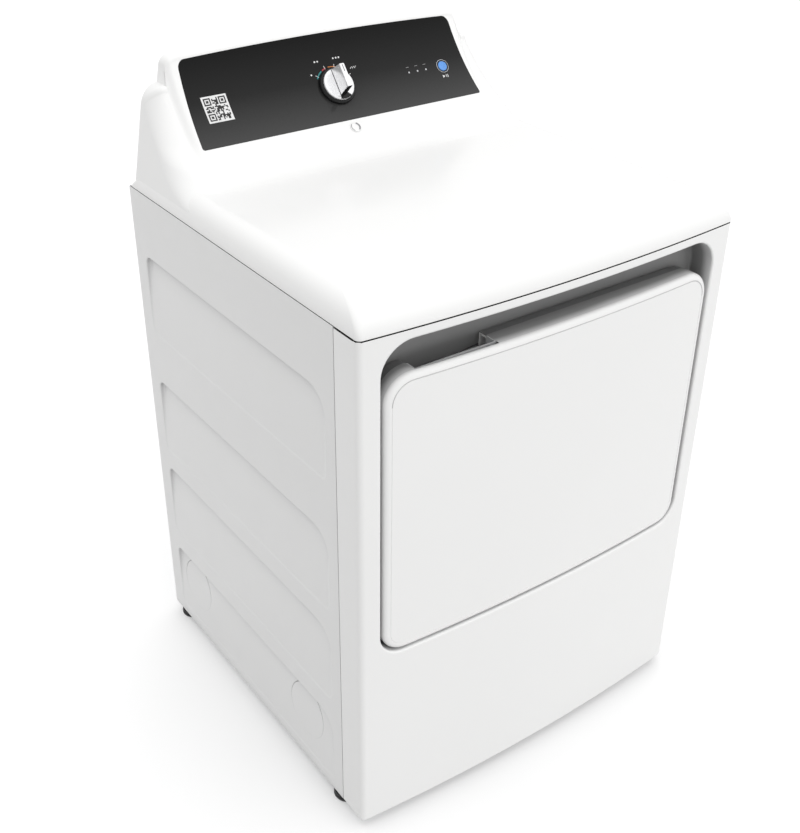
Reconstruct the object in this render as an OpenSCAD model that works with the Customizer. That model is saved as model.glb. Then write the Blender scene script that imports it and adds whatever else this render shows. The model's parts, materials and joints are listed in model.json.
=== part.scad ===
// Front-loading clothes dryer with a control console along the back of its top.
// Millimetres, +Z up, the door faces -Y. The origin is on the floor under the
// middle of the whole machine, bowed front and exhaust collar included.

/* [Cabinet] */
// Width across the two side panels
cab_w = 686; // [676:1:696]
// Depth from the front corners to the rear panel
cab_d = 666; // [656:1:676]
// Height of the side panels, from their bottom edge to the seam under the top
side_h = 878; // [870:1:890]
// How far the middle of the front stands ahead of its corners
front_bow = 16; // [12:1:20]
// Plan radius of the two front corners
corner_r = 8.5; // [6:0.5:12]
// Thickness of the sheet-metal panels
sheet = 1.2; // [0.8:0.1:1.5]
// How far the exhaust collar stands out behind the rear panel
collar_out = 30; // [26:1:34]

/* [Top and console] */
// Height of the top panel above the seam
top_h = 41; // [38:1:44]
// Width of the roll-off along each side of the top
side_roll = 34; // [30:1:36]
// Depth of the roll-off along the front of the top
front_roll = 61; // [56:1:64]
// Height of the console above the top
console_h = 171; // [168:1:176]
// Radius of the hollow front of the console
fascia_r = 362; // [358:1:366]
// Width of the black control fascia along its lower edge
fascia_w = 547; // [530:1:550]

/* [Door] */
// Width of the door
door_w = 606; // [600:1:608]
// Height of the door
door_h = 470; // [462:1:472]
// Height of the finger gap above the door
finger_gap = 50; // [44:1:52]
// Distance between the two door hinges
hinge_pitch = 310; // [290:1:320]

/* [Drum and drive] */
// Outer radius of the drum
drum_r = 318; // [316:1:319]
// Number of lifting baffles in the drum
baffle_count = 3; // [2:1:4]
// Radius of the motor pulley that drives the belt
pulley_r = 10.5; // [10:0.5:12]
// Radius of the idler pulley that tensions the belt
idler_r = 26; // [24:1:28]
// Outer radius of the exhaust collar
collar_r = 50.8; // [50:0.2:51.6]

/* [Controls and feet] */
// Outer radius of the selector knob's skirt
knob_r = 32.5; // [31:0.5:34]
// Travel of the start button
button_travel = 2; // [1.5:0.1:2.5]
// Height of the cabinet above the floor on its levelling feet
foot_h = 18; // [16:1:24]
// Radius of a foot pad
foot_r = 24; // [20:1:25]

/* [Hidden] */
$fn = 96;

seam = 1.5;            // open seam between neighbouring panels
air = 0.3;             // clearance between pieces that only lie close together
cut = 1;               // how far a cutting body runs past a face
white = "whitesmoke";
zinc = "silver";
dark = "dimgray";
black = "#202224";

half_w = cab_w / 2;
y_mid = (front_bow - collar_out) / 2;
y_rear = cab_d / 2 + y_mid;
y_front = -cab_d / 2 + y_mid;
z_seam = foot_h + side_h;
z_work = z_seam + top_h;
z_top = z_work + console_h;
side_return = 55;      // how far the front panel wraps round onto each side

// ---------- outlines and placing ----------

function arc(c, r, a0, a1, n = 8) = [for (i = [0:n]) c + r * [cos(a0 + (a1 - a0) * i / n),
                                                              sin(a0 + (a1 - a0) * i / n)]];
function bow_y(x) = y_front - front_bow * (1 - pow(x / half_w, 2));

// Rounded rectangle about the origin; radii are top right, top left, bottom left, bottom right
function round_rect(w, h, r, n = 8) = concat(
    arc([w / 2 - r[0], h / 2 - r[0]], r[0], 0, 90, n),
    arc([-w / 2 + r[1], h / 2 - r[1]], r[1], 90, 180, n),
    arc([-w / 2 + r[2], -h / 2 + r[2]], r[2], 180, 270, n),
    arc([w / 2 - r[3], -h / 2 + r[3]], r[3], 270, 360, n));

// Plan of the bowed front between x = -hw and hw, set back by inset, square at y = back
function bowed_plan(hw, inset, r, back, n = 24) = concat(
    [[-hw, back]],
    arc([-hw + r, bow_y(hw - r) + inset + r], r, 180, 270),
    [for (i = [1:n - 1]) let (x = (hw - r) * (2 * i / n - 1)) [x, bow_y(x) + inset]],
    arc([hw - r, bow_y(hw - r) + inset + r], r, 270, 360),
    [[hw, back]]);

// Prism along Y of a flat shape drawn in X and Z
module y_prism(y0, y1) translate([0, y1, 0]) rotate([90, 0, 0]) linear_extrude(y1 - y0) children();
// Prism along X of a flat shape drawn in Y and Z
module x_prism(x0, x1) translate([x0, 0, 0]) rotate([90, 0, 90]) linear_extrude(x1 - x0) children();
// Cylinder and tube along Y
module y_rod(r, y0, y1) translate([0, y1, 0]) rotate([90, 0, 0]) cylinder(r = r, h = y1 - y0);
module y_tube(r, wall, y0, y1) difference() {
    y_rod(r, y0, y1);
    y_rod(r - wall, y0 - cut, y1 + cut);
}
// Solid of revolution about Y of a profile drawn as [radius, y]
module y_turned(points) rotate([-90, 0, 0]) rotate_extrude() polygon(points);
module box(low, high) translate(low) cube(high - low);
module both_sides() for (m = [0, 1]) mirror([m, 0, 0]) children();

// Solid skinned over a list of closed rings that all have the same number of points;
// seen from the last ring, every ring runs clockwise
module skinned(rings) {
    n = len(rings[0]);
    last = (len(rings) - 1) * n;
    sides = [for (k = [0:len(rings) - 2], i = [0:n - 1]) let (j = (i + 1) % n, a = k * n)
        each [[a + i, a + j, a + n + j], [a + i, a + n + j, a + n + i]]];
    polyhedron([for (ring = rings) each ring],
        concat(sides, [[for (i = [n - 1:-1:0]) i]], [[for (i = [0:n - 1]) last + i]]));
}

// ---------- cabinet ----------

pocket_y = [y_front + side_return + 28, y_rear - 37];
pocket_z = [[40, 178], [218, 362], [402, 545], [640, 783]];
pocket_deep = 6;
vent_z = foot_h + 108;       // height of the exhaust and of the side knockouts
knockout_y = [y_front + 168, y_rear - 107];
knockout_r = 51;
vent_x = 60;
cord_hole = [-235, 150];
cord_hole_r = 11;
pan_h = 26;

module pocket_outline(z, grow) {
    w = pocket_y[1] - pocket_y[0] + 2 * grow;
    h = z[1] - z[0] + 2 * grow;
    translate([(pocket_y[0] + pocket_y[1]) / 2, (z[0] + z[1]) / 2])
        polygon(round_rect(w, h, [14 + grow, 42 + grow, 14 + grow, 14 + grow]));
}

module side_panel() color(white) {
    y0 = y_front + side_return + seam;
    difference() {
        union() {
            box([half_w - sheet, y0, foot_h], [half_w, y_rear, z_seam - seam]);
            for (z = pocket_z) x_prism(half_w - pocket_deep - sheet, half_w) pocket_outline(z, sheet);
            box([half_w - 15, y_rear - sheet, foot_h], [half_w, y_rear, z_seam - seam]);
            box([half_w - 14, y0, z_seam - seam - sheet], [half_w, y_rear, z_seam - seam]);
        }
        for (z = pocket_z) x_prism(half_w - pocket_deep, half_w + cut) pocket_outline(z, 0);
        // Outlines of the two vent knockouts, pressed into the lowest pocket
        for (y = knockout_y) translate([half_w - pocket_deep - 0.5, y, vent_z]) rotate([0, 90, 0])
            difference() {
                cylinder(r = knockout_r, h = cut);
                translate([0, 0, -cut]) cylinder(r = knockout_r - 2, h = 3 * cut);
            }
    }
}

module left_side_panel() mirror([1, 0, 0]) side_panel();
module right_side_panel() side_panel();

module base_pan() color(zinc) {
    hw = half_w - pocket_deep - 2 * sheet - 1;
    y0 = y_front + 12;
    y1 = y_rear - 2 * sheet - 2;
    difference() {
        box([-hw, y0, foot_h + 0.2], [hw, y1, foot_h + pan_h]);
        box([-hw + 1.5, y0 + 1.5, foot_h + 1.7], [hw - 1.5, y1 - 1.5, foot_h + pan_h + cut]);
        at_feet() translate([0, 0, foot_h - cut]) cylinder(r = foot_bolt_r + 0.05, h = 6);
    }
    // Stiffening ribs pressed in the floor of the pan
    for (x = [-250, 250]) box([x - 6, y0 + 90, foot_h + 1.7], [x + 6, y1 - 90, foot_h + 6]);
    // Threaded nut plates for the feet
    at_feet() translate([0, 0, foot_h + 1.7]) difference() {
        cylinder(r = 12, h = 6, $fn = 6);
        translate([0, 0, -cut]) cylinder(r = foot_bolt_r + 0.05, h = 9);
    }
}

module rear_panel() color(zinc) {
    hw = half_w - 15 - air;
    z1 = z_seam - seam - sheet - air;
    difference() {
        union() {
            box([-hw, y_rear - sheet, foot_h + 0.2], [hw, y_rear, z1]);
            // Raised service cover over the heater, pressed out of the sheet
            translate([0, 0, drum_z]) y_rod(196, y_rear - sheet, y_rear + 5);
        }
        translate([0, 0, drum_z]) y_rod(194.8, y_rear - sheet - cut, y_rear + 3.8);
        translate([vent_x, 0, vent_z]) y_rod(collar_r + 0.6, y_rear - 3, y_rear + cut);
        translate([cord_hole[0], 0, cord_hole[1]]) y_rod(cord_hole_r, y_rear - 3, y_rear + cut);
        // Louvres that let room air in above the heater cover and beside it
        for (x = [-240:40:240]) box([x - 13, y_rear - 3, 810], [x + 13, y_rear + cut, 815]);
        for (x = [-240:40:240]) box([x - 13, y_rear - 3, 835], [x + 13, y_rear + cut, 840]);
        for (a = [0:30:330]) translate([0, 0, drum_z]) rotate([0, a, 0])
            translate([150, 0, 0]) y_rod(7, y_rear - 3, y_rear + 8);
    }
}

opening_hw = 309;
door_gap = 3.6;                // gap under the closed door
opening_z = [foot_h + 338, foot_h + 338 + door_gap + door_h + finger_gap];
opening_cz = (opening_z[0] + opening_z[1]) / 2;
opening_h = opening_z[1] - opening_z[0];
recess_y = y_front + 41;       // front face of the recess floor behind the door
floor_t = 1.5;
throat_w = 430;
throat_z = [390, 790];
throat_cz = (throat_z[0] + throat_z[1]) / 2;

module opening_shape(grow) translate([0, opening_cz])
    polygon(round_rect(2 * opening_hw + 2 * grow, opening_h + 2 * grow,
        [50 + grow, 50 + grow, 40 + grow, 40 + grow]));
module throat_shape(grow) translate([0, throat_cz])
    polygon(round_rect(throat_w + 2 * grow, throat_z[1] - throat_z[0] + 2 * grow,
        [110 + grow, 110 + grow, 60 + grow, 60 + grow]));

module front_panel() color(white) difference() {
    union() {
        translate([0, 0, foot_h]) linear_extrude(side_h - seam) difference() {
            polygon(bowed_plan(half_w, 0, corner_r, y_front + side_return));
            polygon(bowed_plan(half_w - sheet, sheet, corner_r - sheet, y_front + side_return + cut));
        }
        // Walls and floor of the recess that the door closes into
        intersection() {
            y_prism(y_front - 2 * front_bow, recess_y + floor_t) opening_shape(sheet);
            translate([0, 0, foot_h]) linear_extrude(side_h - seam)
                polygon(bowed_plan(half_w - sheet, 0.2, corner_r, recess_y + floor_t));
        }
        // Flanges along the top and bottom edges
        intersection() {
            translate([0, 0, foot_h]) linear_extrude(side_h)
                polygon(bowed_plan(half_w - sheet, 0.2, corner_r, y_front + 11));
            union() {
                box([-half_w, y_front - 40, z_seam - seam - sheet],
                    [half_w, y_front + 11, z_seam - seam]);
                box([-half_w, y_front - 40, foot_h], [half_w, y_front + 11, foot_h + sheet]);
            }
        }
    }
    y_prism(y_front - 2 * front_bow, recess_y) opening_shape(0);
    y_prism(recess_y - cut, recess_y + floor_t + cut) throat_shape(0);
    // Hole for the door switch plunger and slot for the door catch
    translate([switch_x, 0, switch_z]) y_rod(4.5, recess_y - cut, recess_y + floor_t + cut);
    box([catch_x - 10, recess_y - cut, catch_z - 16], [catch_x + 10, recess_y + 3, catch_z + 16]);
}

// ---------- top ----------

// Rounded ring of the top panel at height dz above the seam; c runs from 1 at the
// seam to 0 on the flat top, and t thins the ring for the hollow underside
function top_ring(c, z, t) =
    let (hx = half_w - side_roll * (1 - c) - t,
         yf = front_roll * (1 - c) + t,
         r = corner_r + 40 * (1 - c) - t / 2,
         yr = max(y_rear - 24, y_rear - 24 * (z - z_seam) / 19) - t,
         q = 12 - t)
    [for (p = concat(
        arc([-hx + r, bow_y(hx - r) + yf + r], r, 180, 270),
        [for (i = [1:15]) let (x = (hx - r) * (i / 8 - 1)) [x, bow_y(x) + yf]],
        arc([hx - r, bow_y(hx - r) + yf + r], r, 270, 360),
        arc([hx - q, yr - q], q, 0, 90, 4),
        arc([-hx + q, yr - q], q, 90, 180, 4))) [p[0], p[1], z]];

module top_solid(t, drop) skinned([for (i = [9:-1:0]) let (a = 10 * i)
    top_ring(cos(a), z_seam - (i == 0 ? drop : 0) + (top_h - t) * sin(a), t)]);

top_wall = 2.5;
module top_panel() color(white) {
    difference() {
        top_solid(0, 0);
        top_solid(top_wall, cut);
        // The sheet steps down a little where the console stands on it
        box([-half_w, console_tip_y - 1.5, z_work - 0.5], [half_w, y_rear, z_work + cut]);
    }
    // Tapered stiffening ribs across the underside
    for (y = [-230:60:250]) hull() {
        box([-200, y - 1, z_work - top_wall - 5], [200, y + 1, z_work - top_wall]);
        box([-260, y - 1.5, z_work - top_wall - 0.5], [260, y + 1.5, z_work - top_wall]);
    }
}

// ---------- console ----------

console_tip_y = y_mid + 109.7;            // where the hollow front runs out on the top
arc_y = y_mid - 43;                       // centre of the hollow console front
arc_z = z_work + 316;
console_y = y_rear - 24;                  // rear face of the console
wing_x = 290;                             // where the rounded ends begin
function end_x(z) = half_w - 3.5 - 0.187 * (z - z_work + 22.4);   // drafted end faces

// Height of the console over the plain middle, the bulge's shoulder and the rounded ends
function crown(x, k) =
    x < 262 ? z_top - 5 * pow(x / 262, 2) :
    x < 283 ? z_top - 5 - 18 * (1 - sqrt(max(0, 1 - pow((x - 262) / 21, 2)))) :
    x < 288 ? z_top - 23 - 23 * (x - 283) / 5 :
    z_top - 47 - 27 * (1 - sqrt(1 - k * k));
function smooth(a, b, x) = let (u = min(1, max(0, (x - a) / (b - a)))) u * u * (3 - 2 * u);

// The hollow front of the console in side view, from the tip up; d is the wall's depth
function middle_curve(zt, d) =
    let (a = -55, p = [arc_y + fascia_r * cos(a), arc_z + fascia_r * sin(a)],
         r = 109, c = p + r * [-sin(35), cos(35)],
         top = asin((zt - 9 - arc_z) / fascia_r))
    concat([for (s = [4:5.17:34]) c + (r + d) * [sin(s), -cos(s)]],
        [for (i = [0:11]) let (f = a + (top - a) * i / 11)
            [arc_y + (fascia_r + d) * cos(f), arc_z + (fascia_r + d) * sin(f)]]);
// The same for the end faces, set back and with a straight upper part
function end_curve(zt, d) =
    let (r = 177, p = [y_mid + 236, z_work + 27], c = p + r * [-sin(45), cos(45)],
         run = (zt - 6 - p[1]))
    concat([for (s = [5:6.6:38]) c + (r + d) * [sin(s), -cos(s)]],
        [for (i = [0:11]) p + run * i / 11 * [1, 1] + d * [sin(45), -cos(45)]]);

// One ring of the console; x is its nominal place, k runs from 0 to 1 round an end
function console_ring(sgn, x, k, d) =
    let (zt = crown(x, k) - d,
         w = 1 - sqrt(1 - k * k),
         back = 12 * smooth(274, 288, x),
         mid = middle_curve(zt, d), side = end_curve(zt, d),
         front = [for (i = [0:len(mid) - 1])
             let (f = smooth(5, 10, i), p = mid[i] + [back * f, 0]) p * (1 - w) + side[i] * w],
         tip = front[len(front) - 1],
         yr = console_y + (d > 0 ? 20 : 0),
         reach = min(7, (yr - tip[0]) * 0.45),
         path = concat([[front[0][0] + (d > 0 ? 8 : 0), z_work - 40], front[0]],
             [for (i = [1:len(front) - 1]) front[i]],
             [for (s = [30:20:90]) [tip[0] + reach * (1 - cos(s)), tip[1] + (zt - tip[1]) * sin(s)]],
             [for (s = [72:-24:0]) [yr - 4 + 4 * cos(s), zt - 4 + 4 * sin(s)]],
             [[yr, z_work - 40]]))
    [for (p = path) [sgn * (x + k * (end_x(p[1]) - d - wing_x)), p[0], p[1]]];

inner_x = [0, 150, 240, 262, 268, 274, 278, 281, 283, 285, 287, 290];
function console_stations(m) = concat([for (x = inner_x) [x, 0]],
    [for (j = [1:m]) [wing_x, sin(90 * j / m)]]);
module console_solid(d) {
    s = console_stations(7);
    n = len(s);
    skinned(concat([for (i = [n - 1:-1:1]) console_ring(-1, s[i][0], s[i][1], d)],
        [for (i = [0:n - 1]) console_ring(1, s[i][0], s[i][1], d)]));
}

fascia_a = [-49.5, -25.7];                // angles of the fascia's lower and upper edges
fascia_t = 2.4;
control_a = -39.6;                        // every control sits at this angle
module at_fascia(x, a = control_a)
    translate([x, arc_y + fascia_r * cos(a), arc_z + fascia_r * sin(a)])
        rotate([90 + a, 0, 0]) children();

// Band of the hollow front between two depths, with the fascia's outline
module fascia_band(d0, d1, grow) intersection() {
    translate([-half_w, arc_y, arc_z]) rotate([0, 90, 0]) difference() {
        cylinder(r = fascia_r + d1, h = cab_w, $fn = 360);
        translate([0, 0, -cut]) cylinder(r = fascia_r + d0, h = cab_w + 2 * cut, $fn = 360);
    }
    at_fascia(0, (fascia_a[0] + fascia_a[1]) / 2) translate([0, 0, -30]) linear_extrude(60)
        polygon(fascia_outline(grow));
}
function fascia_outline(g) =
    let (h = fascia_r * sin((fascia_a[1] - fascia_a[0]) / 2), b = fascia_w / 2, t = b - 9.5, r = 16)
    concat(arc([b - 4, -h + 4], 4 + g, 270, 355, 4), arc([t - r, h - r], r + g, 5, 90, 6),
        [for (i = [-5:5]) [-(t - r) * i / 6, h + g + 7 * (1 - pow(i / 6, 2))]],
        arc([-t + r, h - r], r + g, 90, 175, 6), arc([-b + 4, -h + 4], 4 + g, 185, 270, 4));

console_wall = 5;
module console_shell() color(white) {
    difference() {
        console_solid(0);
        console_solid(console_wall);
        // The console stands on the top panel, whose rolled sides it follows
        top_solid(-air, 30);
        fascia_band(-cut, fascia_t + 0.1, 0.3);
        at_fascia(0) translate([-234, -42, -30]) cube([468, 92, 60]);
        at_fascia(0, badge_a) translate([0, 0, -10]) cylinder(r = 2.5, h = 20, $fn = 24);
    }
    // Stiffening ribs behind the upper edge
    for (x = [-225:50:225]) let (z = crown(abs(x), 0) - console_wall) hull() {
        box([x - 1, console_y - 12, z - 30], [x + 1, console_y - 5, z - 1]);
        box([x - 1.7, console_y - 15, z - 2], [x + 1.7, console_y - 5, z + 2]);
    }
}

module console_fascia() color(black) difference() {
    fascia_band(0, fascia_t, 0);
    at_fascia(0) translate([0, 0, -10]) cylinder(r = 6, h = 20);
    at_fascia(button_x) translate([0, 0, -10]) cylinder(r = button_r + 2.5, h = 20);
    for (x = lens_x) at_fascia(x) translate([0, 0, -10]) cylinder(r = 1.7, h = 20);
}

module console_rear_cover() color(zinc) difference() {
    union() {
        box([-300, console_y - 3, z_work + 2], [300, console_y - 1.6, z_top - 68]);
        box([-256, console_y - 3, z_top - 70], [256, console_y - 1.6, z_top - 12]);
    }
    for (x = [-200:20:200]) box([x - 6, console_y - 5, z_top - 100], [x + 6, console_y, z_top - 96]);
}

badge_a = -51.9;
module console_badge() color(zinc) at_fascia(0, badge_a) {
    translate([0, 0, 0.3]) cylinder(r1 = 9.5, r2 = 8.5, h = 1.6);
    translate([0, 0, -2.5]) cylinder(r = 2.2, h = 3);
}

lens_x = [148.8, 166.8, 184.8];
module indicator_lenses() color("ivory") for (x = lens_x) at_fascia(x) {
    translate([0, 0, -4.5]) cylinder(r = 1.6, h = 5);
    translate([0, 0, -4.5]) cylinder(r = 2.6, h = 1.8);
}

button_x = 220.5;
button_r = 8.9;
module start_button_ring() color(zinc) at_fascia(button_x) difference() {
    union() {
        translate([0, 0, 0.5]) cylinder(r1 = button_r + 3.1, r2 = button_r + 2.7, h = 1.1);
        translate([0, 0, -5]) cylinder(r = button_r + 2, h = 6);
    }
    translate([0, 0, -6]) cylinder(r = button_r + 0.4, h = 9);
}
module start_button() color("royalblue") at_fascia(button_x) {
    translate([0, 0, -4]) cylinder(r = button_r, h = 6.2);
    translate([0, 0, -9]) cylinder(r = 3, h = 6);
}
knob_face_r = 27.5;
knob_top = 40;                            // height of the grip bar above the fascia
module selector_knob() at_fascia(0) {
    color(black) rotate_extrude() polygon([[4.1, 3], [knob_r - 1, 1.9], [knob_r, 2.6], [knob_r - 1.5, 8],
        [knob_face_r, 9], [4.1, 9]]);
    color(zinc) difference() {
        union() {
            rotate_extrude() polygon([[0, 9], [knob_face_r, 9], [knob_face_r, 11], [knob_face_r - 1.5, 12.5],
                [0, 12.5]]);
            // Grip bar across the face
            hull() {
                translate([-5.6, -20, 12.4]) cube([11.2, 46, 0.1]);
                translate([-4.7, -18.5, knob_top - 1]) cube([9.4, 41, 1]);
            }
        }
        cylinder(r = 4.1, h = 20);
    }
}
module selector_shaft() color(zinc) at_fascia(0) translate([0, 0, -14]) cylinder(r = 4, h = 33.5);

module selector_switch() color(dark) at_fascia(0) difference() {
    union() {
        translate([0, 0, -34]) cylinder(r = 20, h = 26);
        translate([-22, -24, -36]) cube([44, 48, 3]);
    }
    translate([0, 0, -15]) cylinder(r = 4.05, h = 12);
}

module control_board() color("darkgreen") at_fascia(150) {
    translate([-75, -34, -26]) cube([155, 68, 1.6]);
    for (x = [-60, -30, 0]) translate([x, -12, -24.4]) cube([16, 22, 8]);
    // Push switch behind the start button
    translate([button_x - 156, -6, -24.4]) cube([12, 12, 15 - button_travel]);
}

// ---------- door ----------

door_hw = door_w / 2;
door_z = [opening_z[0] + door_gap, opening_z[0] + door_gap + door_h];
door_cz = (door_z[0] + door_z[1]) / 2;
door_edge_r = 9;                // roll along all four edges of the outer panel
door_corner = [44, 36];         // corner radii at the top and at the bottom
door_join_y = y_front + 22;     // where the outer panel meets the inner one
door_back_y = y_front + 37;
hinge_x = door_hw - 12;
hinge_y = bow_y(hinge_x) + 6.2;
hinge_z = [door_cz - hinge_pitch / 2, door_cz + hinge_pitch / 2];
pin_r = 2.6;
leaf_h = 16;
ear_t = 5;
catch_x = -262;
catch_z = 595;
switch_x = -255;
switch_z = 800;
grip_x = [-254, -117];
grip_deep = 46;
grip_open = 22;                 // height over which the grip is open to the rear

module door_outline(inset) translate([0, door_cz])
    polygon(round_rect(door_w - 2 * inset, door_h - 2 * inset,
        [for (r = [door_corner[0], door_corner[0], door_corner[1], door_corner[1]]) r - inset]));

// How far a point [x, z] lies inside the door's outline
function door_inside(x, z) =
    let (up = z > door_cz, r = door_corner[up ? 0 : 1],
         dx = abs(x) - door_hw + r, dz = up ? z - door_z[1] + r : door_z[0] + r - z)
    dx > 0 && dz > 0 ? r - norm([dx, dz])
        : min(door_hw - abs(x), z - door_z[0], door_z[1] - z);
function roll_back(d, r) = d >= r ? 0 : r - sqrt(max(0, r * r - pow(r - d, 2)));
// Height lost at the end of the outline at x, for a corner of radius r
function corner_drop(x, r, hw) = let (dx = max(0, x - hw + r)) r - sqrt(max(0, r * r - dx * dx));
roll_steps = [0, 0.4, 1.2, 2.5, 4.5, 7, 12, 26, 60];

// Section of the bowed and rolled outer panel in the plane x, inset all round
function door_ring(x, inset, y1) =
    let (z0 = door_z[0] + inset + corner_drop(abs(x), door_corner[1] - inset, door_hw - inset),
         z1 = door_z[1] - inset - corner_drop(abs(x), door_corner[0] - inset, door_hw - inset),
         zs = concat([for (t = roll_steps) z0 + t], [for (i = [8:-1:0]) z1 - roll_steps[i]]))
    concat([[x, y1, z0]],
        [for (z = zs) [x, bow_y(x) + inset
            + roll_back(max(0, door_inside(x, z) - inset), door_edge_r - inset), z]],
        [[x, y1, z1]]);
door_steps = [0, 0.4, 1.2, 2.5, 4.5, 7, 10, 15, 21, 28, 36, 44, 90, 140, 190, 240, 280];
module door_blank(inset, y1) skinned(concat(
    [for (i = [0:16]) door_ring(-door_hw + inset + door_steps[i], inset, y1)],
    [for (i = [16:-1:0]) door_ring(door_hw - inset - door_steps[i], inset, y1)]));
module grip_hole(grow) box([grip_x[0] - grow, bow_y(grip_x[0]) + 7 - grow, door_z[1] - grip_deep - grow],
    [grip_x[1] + grow, door_join_y - 2 + grow, door_z[1] + cut + 2 * grow]);
// Space that the fixed hinge leaves need at the hinge edge of the door
module hinge_notches(y0) for (z = hinge_z)
    box([hinge_x - 16, y0, z - leaf_h / 2 - 3], [door_hw + cut, door_back_y + 2, z + leaf_h / 2 + 3]);

module door_outer_panel() color(white) difference() {
    door_blank(0, door_join_y);
    door_blank(sheet, door_join_y + cut);
    grip_hole(0);
    box([grip_x[0], door_join_y - 4, door_z[1] - 3], [grip_x[1], door_join_y + cut, door_z[1] + cut]);
    hinge_notches(hinge_y - 2);
}

module door_inner_panel() color(white) difference() {
    union() {
        y_prism(door_join_y + air, door_back_y) door_outline(2);
        // Raised plug that enters the throat
        y_prism(door_back_y - cut, door_back_y + 9)
            translate([0, throat_cz]) polygon(round_rect(throat_w - 34, throat_z[1] - throat_z[0] - 34,
                [96, 96, 46, 46]));
    }
    y_prism(door_join_y - cut, door_back_y - 2.5) door_outline(5);
    y_prism(door_back_y - 3.5, door_back_y + 6.5) translate([0, throat_cz])
        polygon(round_rect(throat_w - 40, throat_z[1] - throat_z[0] - 40, [93, 93, 43, 43]));
    hinge_notches(door_join_y - cut);
    for (z = hinge_z) box([hinge_x - 60, door_join_y - cut, z - 32], [hinge_x + 4, door_join_y + 6, z + 32]);
    // The grip is open to the rear along its upper part
    box([grip_x[0], door_join_y - cut, door_z[1] - grip_open],
        [grip_x[1], door_back_y + cut, door_z[1] + cut]);
    // Slot that the strike's tongue passes through
    box([catch_x - 3.3, door_back_y - 4, catch_z - 9.3], [catch_x + 3.3, door_back_y + cut, catch_z + 9.3]);
}

module door_grip_cup() color(zinc) difference() {
    grip_hole(-air);
    box([grip_x[0] + 2, bow_y(grip_x[0]) + 9, door_z[1] - grip_deep + 2],
        [grip_x[1] - 2, door_join_y - 4, door_z[1] + 20]);
    box([grip_x[0] + 2, door_join_y - 6, door_z[1] - grip_open],
        [grip_x[1] - 2, door_join_y, door_z[1] + 20]);
    box([-half_w, y_front - 40, door_z[1]], [half_w, 0, door_z[1] + 40]);
}

module door_seal() color(dark) y_prism(door_back_y, recess_y - 0.4)
    translate([0, throat_cz]) difference() {
        polygon(round_rect(throat_w + 40, throat_z[1] - throat_z[0] + 36, [118, 118, 70, 70]));
        polygon(round_rect(throat_w + 16, throat_z[1] - throat_z[0] + 12, [108, 108, 60, 60]));
    }

module door_strike() color(zinc) {
    box([catch_x - 3, door_back_y - 4.2, catch_z - 9], [catch_x + 3, door_back_y + 17, catch_z + 9]);
    box([catch_x - 11, door_back_y - 4.6, catch_z - 14], [catch_x + 11, door_back_y - 2.6, catch_z + 14]);
}

module hinge_knuckle(z0, z1) translate([hinge_x, hinge_y, z0]) cylinder(r = pin_r + 2, h = z1 - z0);
// Two ears inside the door hold each pin above and below the fixed leaf
module door_hinge_arms() color(zinc) for (z = hinge_z) difference() {
    union() {
        for (s = [-1, 1]) {
            z0 = z + s * (leaf_h / 2 + air + ear_t / 2) - ear_t / 2;
            hinge_knuckle(z0, z0 + ear_t);
            box([hinge_x - 46, hinge_y - 3.6, z0], [hinge_x, hinge_y + 4, z0 + ear_t]);
        }
        box([hinge_x - 48, hinge_y - 4, z - leaf_h / 2 - ear_t - air],
            [hinge_x - 44, door_join_y + 0.1, z + leaf_h / 2 + ear_t + air]);
    }
    translate([hinge_x, hinge_y, z - 40]) cylinder(r = pin_r + 0.05, h = 80);
}
module door_hinge_pins() color(zinc) for (z = hinge_z)
    translate([hinge_x, hinge_y, z - leaf_h / 2 - ear_t - 1]) {
        cylinder(r = pin_r, h = leaf_h + 2 * ear_t + 2);
        translate([0, 0, -2]) cylinder(r = pin_r + 2, h = 2);
    }
// Fixed goose-neck leaves that reach forward from the recess floor to the pins
module hinge_leaves() color(zinc) for (z = hinge_z) difference() {
    union() {
        hinge_knuckle(z - leaf_h / 2, z + leaf_h / 2);
        translate([hinge_x, hinge_y, z - leaf_h / 2]) linear_extrude(leaf_h)
            polygon([[0, 0], [-3, 4], [-9.5, 13], [-9.5, recess_y - hinge_y - 0.2],
                [-6.5, recess_y - hinge_y - 0.2], [-6.5, 13.5], [1, 5]]);
        box([hinge_x - 11, recess_y - 1.7, z - 20], [hinge_x + 12, recess_y - 0.2, z + 20]);
    }
    translate([hinge_x, hinge_y, z - 20]) cylinder(r = pin_r + 0.05, h = 40);
}

module door_catch() color(dark) difference() {
    box([catch_x - 14, recess_y + floor_t + air, catch_z - 20],
        [catch_x + 14, recess_y + floor_t + 22, catch_z + 20]);
    box([catch_x - 7, recess_y - cut, catch_z - 12],
        [catch_x + 7, recess_y + floor_t + 20, catch_z + 12]);
}

module hinge_hole_plugs() color(black) for (z = hinge_z)
    translate([-opening_hw + 0.1, hinge_y + 10, z]) rotate([0, 90, 0]) cylinder(r1 = 5, r2 = 4, h = 2);

module door_switch() color(black) difference() {
    box([switch_x - 11, recess_y + floor_t + air, switch_z - 14],
        [switch_x + 11, recess_y + floor_t + 24, switch_z + 14]);
    translate([switch_x, 0, switch_z]) y_rod(3.3, recess_y, recess_y + floor_t + 16);
}
module door_switch_plunger() color("white") translate([switch_x, 0, switch_z])
    y_rod(3.2, door_back_y + 0.4, recess_y + floor_t + 9);

// ---------- air path and drum ----------

drum_z = 560;
bulk_y = recess_y + floor_t + air;       // front face of the front bulkhead
drum_y = [bulk_y + 43, y_rear - 74];
collar_drum_r = drum_r - 39;
sill = throat_z[0];
filter_y = [bulk_y + 9, bulk_y + 21];
filter_hw = 130;
filter_z = [205, sill + 8];
blower = [-95, 135];
blower_y = [bulk_y + 27, bulk_y + 83];

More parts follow.
